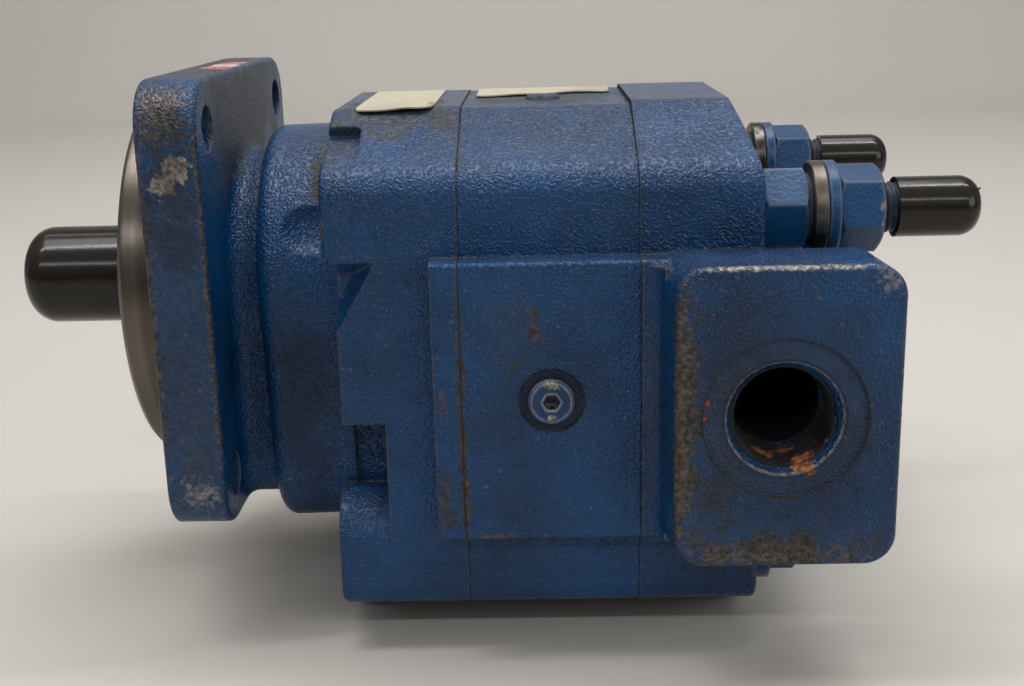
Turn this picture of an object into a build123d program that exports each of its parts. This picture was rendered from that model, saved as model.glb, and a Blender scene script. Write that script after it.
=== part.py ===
from build123d import *
import os
from math import acos, cos, pi, radians, sin, sqrt, tan

os.makedirs("parts", exist_ok=True)

# External gear pump, three cast sections, SAE C four-bolt mounting.
# X runs along the drive shaft, zero on the flange's mounting face and positive towards the port cover.
# Y runs across, the port block shown is on the -Y side. Z is up, zero on the drive shaft.

# ------------------------------------------------------------------ pumping set
centre_distance = 50.8
tooth_count = 10
pressure_angle = 28.0
module = centre_distance / tooth_count
gear_width = 44.0
tooth_thinning = 0.12       # each flank, gives the gears their backlash
journal_r = 15.875
running_clearance = 0.05    # journal in bushing, each side
tip_clearance = 0.3         # gear tip to chamber, and gear end to thrust plate
mesh_z = -centre_distance / 2
driven_z = -centre_distance

# ------------------------------------------------------------------ mounting
pilot_r = 63.5
pilot_length = 12.7
flange_thickness = 19.0
flange_half = 73.0
flange_corner_r = 16.0
flange_rear_edge_r, flange_front_edge_r, pilot_chamfer = 2.0, 1.2, 1.5
mount_hole_r = 7.15
mount_spacing = 114.5

# ------------------------------------------------------------------ casting sections along X
case_left = 55.0            # left face of the cover's body
joint_front = 97.0          # cover to gear housing
joint_rear = 152.4          # gear housing to port cover
case_right = 190.6          # back face of the port cover
side_y = 75.0               # half width over the side walls
top_z, bottom_z = 61.3, -114.3
shoulder_z, low_shoulder_z = 43.0, -96.2    # where the side wall meets the sloping shoulders
flat_half = 36.0            # half width of the flat top
cover_step, housing_step = 1.0, 1.3         # how far these two castings' tops lie under the third's
flat_corner_r, upper_corner_r, lower_corner_r = 7.0, 11.0, 8.0
case_edge_r = 1.8           # rounding round the two end faces
crown_length, crown_drop = 6.7, 24.0        # arched top edge of the port cover's back face
pad_y = 84.0                # side pad face
pad_left = 88.4
pad_top, pad_bottom = 18.0, -71.2
block_y = 102.0             # port block face
block_left, block_right = 161.0, 227.4
block_top, block_bottom = 19.0, -73.4
block_inner_y = 75.3
block_corner_r, block_edge_r = 9.5, 1.6
block_lean, block_draft = 5.5, 1.5          # spread of the block's left and right sides at its root
pad_edge_r = 1.2

# ------------------------------------------------------------------ neck behind the flange
groove_half, groove_top, groove_bottom, groove_corner_r = 44.5, 43.5, -70.5, 8.0
groove_end, neck_lean = 29.4, 1.3           # neck's front face and its backward lean, degrees
neck_half, neck_top, neck_bottom, neck_corner_r = 54.0, 52.0, -81.5, 25.0
neck_edge_r = 5.0

# ------------------------------------------------------------------ pockets in the cover's body
wall_setback = 3.5
boss_r = 17.0
pocket_right = 72.0
lower_pocket_top = -35.0
boss_gap_top = 17.5
wedge_depth, wedge_draft, wedge_bottom, wedge_lead = 8.0, 32.0, -5.0, 4.0
scallop_r, scallop_x = 14.5, 46.5
shoulder_pocket_right = 66.0
shoulder_pocket_depth, shoulder_pocket_width, shoulder_pocket_corner_r = 4.5, 20.0, 3.0

# ------------------------------------------------------------------ studs and bolts
stud_y = 58.0
stud_r = 8.0                # M16
thread_clearance = 0.05
bolt_hole_r = 8.75
upper_stud_z = 28.2
lower_stud_z = 2 * mesh_z - upper_stud_z
nut_across_flats = 24.0
hex_chamfer = 1.3
clamp_nut_turn, bracket_nut_turn = 45.5, 16.4
clamp_nut_height = 14.2
ring_r, ring_thickness = 15.0, 4.6
washer_thickness = 3.7
ring_gap = 1.0              # raised face on the clamp nut
bracket_nut_height = 14.0
stud_left = 60.0
stud_reach = 24.3           # stud end behind the bracket nut
cap_gap, stud_cap_length = 4.9, 26.2        # thread left bare before the cap, and the cap's length
stud_cap_r = 9.4
cap_fit = 0.3

# ------------------------------------------------------------------ ports
near_port_x, near_port_z = 193.2, -27.0
near_spotface_r, near_seat_r, near_thread_r, near_bore_r = 24.5, 17.75, 15.7, 13.7
far_port_x, far_port_z = 193.2, -27.0
far_spotface_r, far_seat_r, far_thread_r, far_bore_r = 29.0, 21.75, 19.8, 16.7
port_thread_depth = 20.0
passage_r = 10.5
passage_y = 29.0
gauge_x = 124.7
gauge_spotface_r, gauge_thread_r = 10.3, 5.5
gauge_head_r, gauge_head_height = 7.1, 2.6

# ------------------------------------------------------------------ bearings, seals and shaft end
bushing_r = 20.64
bushing_length = 25.4
thrust_plate_thickness = (joint_rear - joint_front - gear_width) / 2 - tip_clearance
shaft_passage_r = 19.0
seal_bore_r, seal_bore_end = 25.4, 0.5
lip_seal_width = 9.5
shaft_end_x = -55.6         # end of the splined shaft
spline_r, spline_root_r, spline_teeth = 15.6, 13.5, 14
shaft_cap_r, shaft_cap_bore_r = 17.35, 15.9
shaft_cap_left, shaft_cap_right = -63.0, -14.0
section_seal_width, section_seal_depth = 3.2, 2.4
dowel_r, dowel_length = 5.0, 16.0

snap_ring_x, snap_ring_width, snap_ring_depth = -12.0, 1.9, 1.6
seal_half_y, seal_half_z = 47.6, 63.6
seal_flat = 2.6             # straight part left between two seal corners, half of it
dowel_places = [(-62.0, -8.0), (62.0, -42.8)]
crossover_depth, crossover_top, crossover_bottom = 31.4, 8.0, -57.0
crossover_corner_r = 9.0
blend_left = 153.5
spotface_depth, seat_depth = 1.0, 3.0
gauge_spotface_depth, gauge_thread_depth, gauge_bore_r = 0.8, 14.0, 3.0

spline_end_x = -18.0
lip_seal_x = -9.4
lip_r = journal_r + 0.05
plate_fit, plate_bore_r = 0.05, 16.4
seal_slack = 0.05
nut_face_r = 11.2
bolt_washer_r, bolt_washer_thickness, bolt_head_height = 16.6, 4.6, 10.0
plug_neck_r, plug_socket = 3.9, 4.8
label_thickness = 0.5
cover_label_left, cover_label_right, cover_label_near, cover_label_far = 63.0, 88.0, -40.0, 30.0
housing_label_left, housing_label_right, housing_label_near, housing_label_far = 100.5, 148.0, 1.0, 36.0
label_reach = 30.0          # how far down a label's outline is looked for
bump_x, bump_y, bump_long, bump_wide, bump_height = 124.0, -9.0, 12.0, 9.0, 1.5

# ------------------------------------------------------------------ small sizes
journal_end_gap, journal_chamfer, bushing_chamfer, spline_chamfer = 1.5, 1.0, 0.6, 0.6
spline_foot_half, spline_tip_half = 2.0, 0.95
tooth_root_fillet = 1.0
dowel_end_gap, dowel_chamfer = 0.3, 0.6
lip_case_height, lip_flex_x, lip_tip_x, lip_back_x, lip_web_x = 3.5, 3.2, 6.6, 8.8, 3.8
lip_back_low, lip_back_high, lip_case_wall = 2.2, 4.4, 3.2
snap_ring_play, snap_ring_width_in = 0.1, 2.6
snap_gap, snap_gap_drop = 9.0, 2.0
snap_lug_y, snap_lug_drop, snap_lug_r, snap_hole_r = 7.2, 3.6, 2.6, 1.1
shaft_cap_round, shaft_cap_wall, shaft_cap_fit = 9.5, 2.6, 0.3
stud_cap_round, stud_cap_wall = 6.5, 2.0
stud_chamfer, ring_chamfer, washer_chamfer, ring_play = 1.2, 0.5, 0.4, 0.3
plug_chamfer, plug_length, plug_neck_length, plug_socket_depth = 0.8, 11.0, 1.9, 5.0
o_ring_play = 0.05
blend_mid_x, blend_mid_y, blend_end_x, blend_end_y, blend_end_gap = 3.6, 1.6, 5.4, 5.5, 1.5
joint_overlap = 3.0         # how far one cast form runs into the next

# derived sizes
tip_r = centre_distance / 2 + module
root_r = centre_distance / 2 - 1.25 * module
chamber_r = tip_r + tip_clearance
gear_left = (joint_front + joint_rear - gear_width) / 2
clamp_nut_right = case_right + clamp_nut_height
ring_left = clamp_nut_right + ring_gap
washer_left = ring_left + ring_thickness
bracket_nut_left = washer_left + washer_thickness
bracket_nut_right = bracket_nut_left + bracket_nut_height
stud_right = bracket_nut_right + stud_reach
stud_cap_start = bracket_nut_right + cap_gap
stud_cap_end = stud_cap_start + stud_cap_length
crossover_right = case_right + crossover_depth
seal_corner_r = seal_half_y - seal_flat


def case_outline(top):
    """Cross-section of the cast stack: eight-sided, with the corners rounded."""
    with BuildSketch(Plane.YZ) as outline:
        with BuildLine():
            Polyline(
                (-flat_half, top), (flat_half, top), (side_y, shoulder_z), (side_y, low_shoulder_z),
                (flat_half, bottom_z), (-flat_half, bottom_z), (-side_y, low_shoulder_z),
                (-side_y, shoulder_z), close=True,
            )
        make_face()
        fillet(outline.vertices().filter_by_position(Axis.X, -flat_half - 1, flat_half + 1), flat_corner_r)
        side_corners = outline.vertices().filter_by(lambda v: abs(abs(v.X) - side_y) < 0.01)
        fillet(side_corners.filter_by(lambda v: v.Y > mesh_z), upper_corner_r)
        side_corners = outline.vertices().filter_by(lambda v: abs(v.Y - low_shoulder_z) < 0.01)
        fillet(side_corners, lower_corner_r)
    return outline.sketch_local


def u_section(half, top, bottom, corner):
    """Neck cross-section: round over the shaft, straight sides, flat bottom."""
    with BuildSketch(Plane.YZ) as section:
        with Locations((0, top - half)):
            Circle(half)
        with Locations((0, (top - half + bottom) / 2)):
            Rectangle(2 * half, top - half - bottom)
        fillet(section.vertices().group_by(Axis.Y)[0], corner)
    return section.sketch_local


def bolt_pattern(z_upper=upper_stud_z, z_lower=lower_stud_z):
    """The four corner positions of the stack's studs and bolts, as (Y, Z)."""
    return [(side * stud_y, z) for side in (-1, 1) for z in (z_upper, z_lower)]


def save(part, name):
    """Label one finished piece and write it out."""
    part.label = name
    export_step(part, f"parts/{name}.step")


# ================================================================== shaft end cover
with BuildPart() as mounting_flange:
    with BuildSketch(Plane.YZ):
        RectangleRounded(2 * flange_half, 2 * flange_half, flange_corner_r)
    extrude(amount=flange_thickness)
    fillet(mounting_flange.edges().group_by(Axis.X)[-1], flange_rear_edge_r)
    fillet(mounting_flange.edges().group_by(Axis.X)[0], flange_front_edge_r)
    with BuildSketch(Plane.YZ):
        Circle(pilot_r)
    extrude(amount=-pilot_length)
    chamfer(mounting_flange.edges().group_by(Axis.X)[0], pilot_chamfer)

# the neck's full section, rounded where it drops into the groove
neck_face = Plane(
    origin=(groove_end, 0, 0),
    x_dir=(0, 1, 0),
    z_dir=(cos(radians(neck_lean)), 0, sin(radians(neck_lean))),
)
with BuildPart() as neck:
    with BuildSketch(neck_face):
        add(u_section(neck_half, neck_top, neck_bottom, neck_corner_r))
    extrude(amount=case_left - groove_end + joint_overlap)
    fillet(neck.faces().sort_by(Axis.X)[0].edges(), neck_edge_r)

# body: full outline, with the left face cut back round the four stud bosses
with BuildPart() as cover_body:
    with BuildSketch(Plane.YZ.offset(case_left)):
        add(case_outline(top_z - cover_step))
    extrude(amount=joint_front - case_left)
    fillet(cover_body.edges().group_by(Axis.X)[0], case_edge_r)
    for side in (-1, 1):
        inner, outer = side * (neck_half - joint_overlap), side * (side_y + joint_overlap)
        # side wall between the bosses stands back from the left face
        with BuildSketch(Plane.YZ.offset(case_left - 1)):
            with Locations(((inner + outer) / 2, (boss_gap_top + lower_pocket_top) / 2)):
                Rectangle(abs(outer - inner), boss_gap_top - lower_pocket_top + 2)
        extrude(amount=wall_setback + 1, mode=Mode.SUBTRACT)
        # deep pocket over the lower boss
        with BuildSketch(Plane.YZ.offset(case_left - 1)):
            with BuildLine():
                Polyline((inner, lower_pocket_top), (outer, lower_pocket_top), (outer, lower_stud_z),
                         (inner, lower_stud_z), close=True)
            make_face()
            with Locations((side * stud_y, lower_stud_z)):
                Circle(boss_r, mode=Mode.SUBTRACT)
        extrude(amount=pocket_right - case_left + 1, mode=Mode.SUBTRACT)
        # drafted wedge under the upper boss
        wall = Plane(origin=(0, side * side_y, 0), x_dir=(1, 0, 0), z_dir=(0, -side, 0))
        with BuildSketch(wall.offset(-0.5)):
            with BuildLine():
                Polyline((case_left - 9, side * boss_gap_top), (pocket_right, side * boss_gap_top),
                         (case_left + wedge_lead, side * wedge_bottom),
                         (case_left - 9, side * wedge_bottom), close=True)
            make_face()
        extrude(amount=wedge_depth, taper=wedge_draft, mode=Mode.SUBTRACT)
        # shallow pocket in the upper and the lower shoulder
        for up, middle_z in ((1, (top_z + shoulder_z) / 2), (-1, (bottom_z + low_shoulder_z) / 2)):
            slope = Plane(
                origin=(case_left, side * (flat_half + side_y) / 2, middle_z),
                x_dir=(1, 0, 0),
                z_dir=(0, side * (top_z - shoulder_z), up * (side_y - flat_half)),
            )
            with BuildSketch(slope.offset(3)):
                Rectangle(2 * (shoulder_pocket_right - case_left), shoulder_pocket_width)
                fillet(vertices(), shoulder_pocket_corner_r)
            extrude(amount=-3 - shoulder_pocket_depth, mode=Mode.SUBTRACT)


def side_pad(start, end):
    """Raised pad on the -Y side wall, its long edges rounded."""
    with BuildPart() as pad:
        with BuildSketch(Plane.XZ.offset(side_y - joint_overlap)):
            with Locations(((start + end) / 2, (pad_top + pad_bottom) / 2)):
                Rectangle(end - start, pad_top - pad_bottom)
        extrude(amount=pad_y - side_y + joint_overlap)
        long_edges = pad.edges().filter_by(Axis.X).group_by(Axis.Y)[0]
        fillet(long_edges, pad_edge_r)
    return pad.part


with BuildPart() as shaft_end_cover:
    add(mounting_flange.part)
    # grooved root of the neck, blended into the flange
    with BuildSketch(Plane.YZ.offset(flange_thickness)):
        add(u_section(groove_half, groove_top, groove_bottom, groove_corner_r))
    extrude(amount=case_left - flange_thickness)
    root = shaft_end_cover.edges().filter_by_position(Axis.X, flange_thickness - 0.01,
                                                      flange_thickness + 0.01)
    fillet(root.filter_by(lambda e: abs(e.center().Y) < groove_half + 0.1
                          and abs(e.center().Z) < abs(groove_bottom) + 0.1), neck_edge_r)
    add(neck.part)
    add(cover_body.part)
    add(side_pad(pad_left, joint_front))
    add(side_pad(pad_left, joint_front).mirror(Plane.XZ))
    # clearance in the neck beside the upper studs
    for side in (-1, 1):
        with Locations((scallop_x, side * stud_y, upper_stud_z)):
            Sphere(scallop_r, mode=Mode.SUBTRACT)
        with BuildSketch(Plane.YZ.offset(scallop_x)):
            with Locations((side * stud_y, upper_stud_z)):
                Circle(scallop_r)
        extrude(amount=case_left - scallop_x, mode=Mode.SUBTRACT)
    # mounting holes
    with BuildSketch(Plane.YZ):
        with GridLocations(mount_spacing, mount_spacing, 2, 2):
            Circle(mount_hole_r)
    extrude(amount=flange_thickness + 2, mode=Mode.SUBTRACT)
    # seal bore with its ring groove, shaft passage, bushing bores
    with BuildSketch(Plane.YZ.offset(-pilot_length)):
        Circle(seal_bore_r)
    extrude(amount=pilot_length + seal_bore_end, mode=Mode.SUBTRACT)
    with BuildSketch(Plane.YZ.offset(snap_ring_x)):
        Circle(seal_bore_r + snap_ring_depth)
    extrude(amount=snap_ring_width, mode=Mode.SUBTRACT)
    with BuildSketch(Plane.YZ):
        Circle(shaft_passage_r)
    extrude(amount=joint_front, mode=Mode.SUBTRACT)
    with BuildSketch(Plane.YZ.offset(joint_front)):
        with Locations((0, 0), (0, driven_z)):
            Circle(bushing_r)
    extrude(amount=-bushing_length, mode=Mode.SUBTRACT)
    # tapped stud holes and dowel holes in the joint face
    with BuildSketch(Plane.YZ.offset(joint_front)):
        with Locations(bolt_pattern()):
            Circle(stud_r + thread_clearance)
    extrude(amount=case_left - joint_front - 1, mode=Mode.SUBTRACT)
    with BuildSketch(Plane.YZ.offset(joint_front)):
        with Locations(dowel_places):
            Circle(dowel_r)
    extrude(amount=-dowel_length / 2, mode=Mode.SUBTRACT)

save(shaft_end_cover.part, "shaft_end_cover")

# ================================================================== gear housing
with BuildPart() as top_bump:
    # small cast boss left on the top
    with BuildSketch(Plane.XY.offset(top_z - housing_step - 1)):
        with Locations((bump_x, bump_y)):
            SlotOverall(bump_long, bump_wide)
    extrude(amount=bump_height + 1)
    fillet(top_bump.faces().sort_by(Axis.Z)[-1].edges(), bump_height * 0.9)

with BuildPart() as gear_housing:
    with BuildSketch(Plane.YZ.offset(joint_front)):
        add(case_outline(top_z - housing_step))
    extrude(amount=joint_rear - joint_front)
    add(top_bump.part)
    add(side_pad(joint_front, joint_rear))
    add(side_pad(joint_front, joint_rear).mirror(Plane.XZ))
    # gear chambers, open to a pocket on each side of the mesh
    with BuildSketch(Plane.YZ.offset(joint_front)):
        with Locations((0, 0), (0, driven_z)):
            Circle(chamber_r)
        with Locations((0, mesh_z)):
            SlotCenterToCenter(2 * passage_y, 2 * passage_r)
        with Locations(bolt_pattern()):
            Circle(bolt_hole_r)
    extrude(amount=joint_rear - joint_front, mode=Mode.SUBTRACT)
    # seal grooves and dowel holes in both faces
    for face_x, inward in ((joint_front, 1), (joint_rear, -1)):
        with BuildSketch(Plane.YZ.offset(face_x)):
            with Locations((0, mesh_z)):
                RectangleRounded(2 * seal_half_y, 2 * seal_half_z, seal_corner_r)
                RectangleRounded(2 * (seal_half_y - section_seal_width),
                                 2 * (seal_half_z - section_seal_width),
                                 seal_corner_r - section_seal_width, mode=Mode.SUBTRACT)
        extrude(amount=inward * section_seal_depth, mode=Mode.SUBTRACT)
        with BuildSketch(Plane.YZ.offset(face_x)):
            with Locations(dowel_places):
                Circle(dowel_r)
        extrude(amount=inward * dowel_length / 2, mode=Mode.SUBTRACT)
    # gauge port in the near pad
    with BuildSketch(Plane.XZ.offset(pad_y)):
        with Locations((gauge_x, mesh_z)):
            Circle(gauge_spotface_r)
    extrude(amount=-gauge_spotface_depth, mode=Mode.SUBTRACT)
    with BuildSketch(Plane.XZ.offset(pad_y)):
        with Locations((gauge_x, mesh_z)):
            Circle(gauge_thread_r + thread_clearance)
    extrude(amount=-gauge_thread_depth, mode=Mode.SUBTRACT)
    with BuildSketch(Plane.XZ.offset(pad_y)):
        with Locations((gauge_x, mesh_z)):
            Circle(gauge_bore_r)
    extrude(amount=-(pad_y - passage_y), mode=Mode.SUBTRACT)

save(gear_housing.part, "gear_housing")

# ================================================================== port end cover
with BuildPart() as port_block:
    # seen from above: the left side leans out towards the pad
    with BuildSketch(Plane.XY.offset(block_bottom)):
        with BuildLine():
            Polyline(
                (block_left, -block_y), (block_right, -block_y), (block_right - block_draft, -block_inner_y),
                (block_left - block_lean, -block_inner_y), close=True,
            )
        make_face()
    extrude(amount=block_top - block_bottom)
    deep_edges = port_block.edges().filter_by(lambda e: abs(e.length - (block_y - block_inner_y)) < 1.5)
    fillet(deep_edges, block_corner_r)
    fillet(port_block.faces().sort_by(Axis.Y)[0].edges(), block_edge_r)

with BuildPart() as port_end_cover:
    with BuildSketch(Plane.YZ.offset(joint_rear)):
        add(case_outline(top_z))
    extrude(amount=case_right - joint_rear)
    fillet(port_end_cover.edges().group_by(Axis.X)[-1], case_edge_r)
    # arched top edge of the back face
    with BuildSketch(Plane.XZ):
        with BuildLine():
            Polyline((case_right - crown_length, top_z), (case_right - crown_length, top_z + 2),
                     (case_right + 2, top_z + 2), (case_right + 2, top_z - crown_drop),
                     (case_right, top_z - crown_drop))
            ThreePointArc((case_right, top_z - crown_drop),
                          (case_right - crown_length * 0.49, top_z - crown_drop * 0.39),
                          (case_right - crown_length, top_z))
        make_face()
    extrude(amount=side_y + 2, both=True, mode=Mode.SUBTRACT)
    # crossover body behind the gears, between the two port blocks
    with BuildSketch(Plane.XZ.offset(-block_inner_y - 2)):
        with Locations(((case_right - 10 + crossover_right) / 2, (crossover_top + crossover_bottom) / 2)):
            Rectangle(crossover_right - case_right + 10, crossover_top - crossover_bottom)
            fillet(vertices().group_by(Axis.X)[-1], crossover_corner_r)
    extrude(amount=2 * block_inner_y + 4)
    for flip in (False, True):
        pad = side_pad(joint_rear, block_left)
        add(pad.mirror(Plane.XZ) if flip else pad)
        add(port_block.part.mirror(Plane.XZ) if flip else port_block.part)
    # hollow blend between pad and block
    with BuildSketch(Plane.XY.offset(pad_bottom + blend_end_gap)):
        with BuildLine():
            ThreePointArc((blend_left, -pad_y), (blend_left + blend_mid_x, -pad_y - blend_mid_y),
                          (blend_left + blend_end_x, -pad_y - blend_end_y))
            Polyline((blend_left + blend_end_x, -pad_y - blend_end_y), (block_left, -pad_y - blend_end_y),
                     (block_left, -pad_y + 2), (blend_left, -pad_y + 2), (blend_left, -pad_y))
        make_face()
    extrude(amount=pad_top - pad_bottom - 2 * blend_end_gap)
    # ports: spotface, seal seat, thread, bore and the passage to the gears
    for side, x, z, spot_r, seat_r, thread_r, bore_r in (
        (-1, near_port_x, near_port_z, near_spotface_r, near_seat_r, near_thread_r, near_bore_r),
        (1, far_port_x, far_port_z, far_spotface_r, far_seat_r, far_thread_r, far_bore_r),
    ):
        mouth = Plane(origin=(x, side * block_y, z), x_dir=(1, 0, 0), z_dir=(0, side, 0))
        with BuildSketch(mouth):
            Circle(spot_r)
        extrude(amount=-spotface_depth, mode=Mode.SUBTRACT)
        with BuildSketch(mouth.offset(-spotface_depth)):
            Circle(seat_r)
        with BuildSketch(mouth.offset(-spotface_depth - seat_depth)):
            Circle(thread_r)
        loft(mode=Mode.SUBTRACT)
        with BuildSketch(mouth):
            Circle(thread_r)
        extrude(amount=-port_thread_depth, mode=Mode.SUBTRACT)
        with BuildSketch(mouth):
            Circle(bore_r)
        extrude(amount=-(block_y - passage_y + 6), mode=Mode.SUBTRACT)
        with BuildSketch(Plane.YZ.offset(joint_rear)):
            with Locations((side * passage_y, mesh_z)):
                Circle(passage_r)
        extrude(amount=x - joint_rear, mode=Mode.SUBTRACT)
    # bushing bores, stud holes and dowel holes
    with BuildSketch(Plane.YZ.offset(joint_rear)):
        with Locations((0, 0), (0, driven_z)):
            Circle(bushing_r)
    extrude(amount=bushing_length, mode=Mode.SUBTRACT)
    with BuildSketch(Plane.YZ.offset(joint_rear)):
        with Locations(bolt_pattern()):
            Circle(bolt_hole_r)
    extrude(amount=case_right - joint_rear + 1, mode=Mode.SUBTRACT)
    with BuildSketch(Plane.YZ.offset(joint_rear)):
        with Locations(dowel_places):
            Circle(dowel_r)
    extrude(amount=dowel_length / 2, mode=Mode.SUBTRACT)

save(port_end_cover.part, "port_end_cover")

# ================================================================== gears
def involute(angle):
    """Involute function of an angle in radians."""
    return tan(angle) - angle


def gear_profile(tooth_angle):
    """Ten-tooth pump gear on the local origin, with one tooth centred on tooth_angle."""
    pitch_r = centre_distance / 2
    base_r = pitch_r * cos(radians(pressure_angle))
    half_pitch = pi * module / 4 - tooth_thinning

    def flank_point(r, hand):
        lean = half_pitch / pitch_r + involute(radians(pressure_angle)) - involute(acos(base_r / r))
        return (r * cos(hand * lean), r * sin(hand * lean))

    steps = [base_r + 0.01 + (tip_r - base_r - 0.01) * k / 4 for k in range(5)]
    left = [flank_point(r, 1) for r in steps]
    right = [flank_point(r, -1) for r in steps]
    foot = flank_point(base_r + 0.01, 1)
    foot_r = root_r - 1
    scale = foot_r / (base_r + 0.01)
    with BuildSketch() as gear:
        Circle(root_r)
        with PolarLocations(0, tooth_count, start_angle=tooth_angle):
            with BuildSketch(mode=Mode.PRIVATE) as tooth:
                with BuildLine():
                    Line((foot[0] * scale, foot[1] * scale), left[0])
                    Spline(*left)
                    ThreePointArc(left[-1], (tip_r, 0), right[-1])
                    Spline(*right[::-1])
                    Line(right[0], (foot[0] * scale, -foot[1] * scale))
                    Line((foot[0] * scale, -foot[1] * scale), (foot[0] * scale, foot[1] * scale))
                make_face()
            add(tooth.sketch)
        roots = gear.vertices().filter_by(lambda v: abs(sqrt(v.X**2 + v.Y**2) - root_r) < 0.01)
        fillet(roots, tooth_root_fillet)
    return gear.sketch


with BuildPart() as drive_gear_shaft:
    with BuildSketch(Plane.YZ.offset(gear_left)):
        add(gear_profile(-90))
    extrude(amount=gear_width)
    with BuildSketch(Plane.YZ.offset(spline_end_x)):
        Circle(journal_r)
    extrude(amount=joint_rear + bushing_length - journal_end_gap - spline_end_x)
    chamfer(drive_gear_shaft.edges().group_by(Axis.X)[-1], journal_chamfer)
    # splined end
    with BuildSketch(Plane.YZ.offset(shaft_end_x)):
        Circle(spline_root_r)
        with PolarLocations(0, spline_teeth):
            with BuildLine():
                Polyline((spline_root_r - 0.5, -spline_foot_half), (spline_r - 0.05, -spline_tip_half),
                         (spline_r, 0), (spline_r - 0.05, spline_tip_half),
                         (spline_root_r - 0.5, spline_foot_half), close=True)
            make_face()
    extrude(amount=spline_end_x - shaft_end_x)
    chamfer(drive_gear_shaft.faces().sort_by(Axis.X)[0].edges(), spline_chamfer)
save(drive_gear_shaft.part, "drive_gear_shaft")

with BuildPart() as driven_gear_shaft:
    with BuildSketch(Plane.YZ.offset(gear_left)):
        with Locations((0, driven_z)):
            add(gear_profile(90 + 180 / tooth_count))
    extrude(amount=gear_width)
    with BuildSketch(Plane.YZ.offset(joint_front - bushing_length + journal_end_gap)):
        with Locations((0, driven_z)):
            Circle(journal_r)
    extrude(amount=joint_rear - joint_front + 2 * (bushing_length - journal_end_gap))
    chamfer(driven_gear_shaft.edges().group_by(Axis.X)[-1], journal_chamfer)
    chamfer(driven_gear_shaft.edges().group_by(Axis.X)[0], journal_chamfer)
save(driven_gear_shaft.part, "driven_gear_shaft")

# ================================================================== bushings and thrust plates
bushing_bore_r = journal_r + running_clearance
for name, start, z in (
    ("drive_front_bushing", joint_front - bushing_length, 0.0),
    ("driven_front_bushing", joint_front - bushing_length, driven_z),
    ("drive_rear_bushing", joint_rear, 0.0),
    ("driven_rear_bushing", joint_rear, driven_z),
):
    with BuildPart() as bushing:
        with BuildSketch(Plane.YZ.offset(start)):
            with Locations((0, z)):
                Circle(bushing_r)
                Circle(bushing_bore_r, mode=Mode.SUBTRACT)
        extrude(amount=bushing_length)
        rims = bushing.edges().filter_by(GeomType.CIRCLE)
        chamfer(rims.filter_by(lambda e: e.radius > bushing_r - 0.1), bushing_chamfer)
    save(bushing.part, name)

for name, start in (
    ("front_thrust_plate", joint_front),
    ("rear_thrust_plate", joint_rear - thrust_plate_thickness),
):
    with BuildPart() as thrust_plate:
        with BuildSketch(Plane.YZ.offset(start)):
            with Locations((0, 0), (0, driven_z)):
                Circle(chamber_r - plate_fit)
            with Locations((0, 0), (0, driven_z)):
                Circle(plate_bore_r, mode=Mode.SUBTRACT)
        extrude(amount=thrust_plate_thickness)
    save(thrust_plate.part, name)

# ================================================================== seals
for name, start, inward in (
    ("front_section_seal", joint_front, 1),
    ("rear_section_seal", joint_rear, -1),
):
    with BuildPart() as section_seal:
        with BuildSketch(Plane.YZ.offset(start)):
            with Locations((0, mesh_z)):
                RectangleRounded(2 * (seal_half_y - seal_slack), 2 * (seal_half_z - seal_slack),
                                 seal_corner_r - seal_slack)
                inset = section_seal_width - seal_slack
                RectangleRounded(2 * (seal_half_y - inset), 2 * (seal_half_z - inset),
                                 seal_corner_r - inset, mode=Mode.SUBTRACT)
        extrude(amount=inward * section_seal_depth)
    save(section_seal.part, name)

with BuildPart() as shaft_lip_seal:
    # cased ring with a sprung lip pointing at the oil side
    with BuildSketch(Plane.XZ):
        with BuildLine():
            Polyline(
                (lip_seal_x, seal_bore_r), (lip_seal_x, journal_r + lip_case_height),
                (lip_seal_x + lip_flex_x, journal_r + lip_case_height), (lip_seal_x + lip_tip_x, lip_r),
                (lip_seal_x + lip_back_x, journal_r + lip_back_low),
                (lip_seal_x + lip_back_x, journal_r + lip_back_high),
                (lip_seal_x + lip_web_x, seal_bore_r - lip_case_wall),
                (lip_seal_x + lip_seal_width, seal_bore_r - lip_case_wall),
                (lip_seal_x + lip_seal_width, seal_bore_r), close=True,
            )
        make_face()
    revolve(axis=Axis.X)
save(shaft_lip_seal.part, "shaft_lip_seal")

with BuildPart() as seal_snap_ring:
    lugs = [(-snap_lug_y, seal_bore_r - snap_lug_drop), (snap_lug_y, seal_bore_r - snap_lug_drop)]
    with BuildSketch(Plane.YZ.offset(snap_ring_x + snap_ring_play)):
        Circle(seal_bore_r + snap_ring_depth - snap_ring_play)
        Circle(seal_bore_r - snap_ring_width_in, mode=Mode.SUBTRACT)
        with Locations((0, seal_bore_r - snap_gap_drop)):
            Rectangle(snap_gap, snap_gap, mode=Mode.SUBTRACT)
        # the two lugs with their plier holes
        with Locations(lugs):
            Circle(snap_lug_r)
        with Locations(lugs):
            Circle(snap_hole_r, mode=Mode.SUBTRACT)
    extrude(amount=snap_ring_width - 2 * snap_ring_play)
save(seal_snap_ring.part, "seal_snap_ring")

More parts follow.
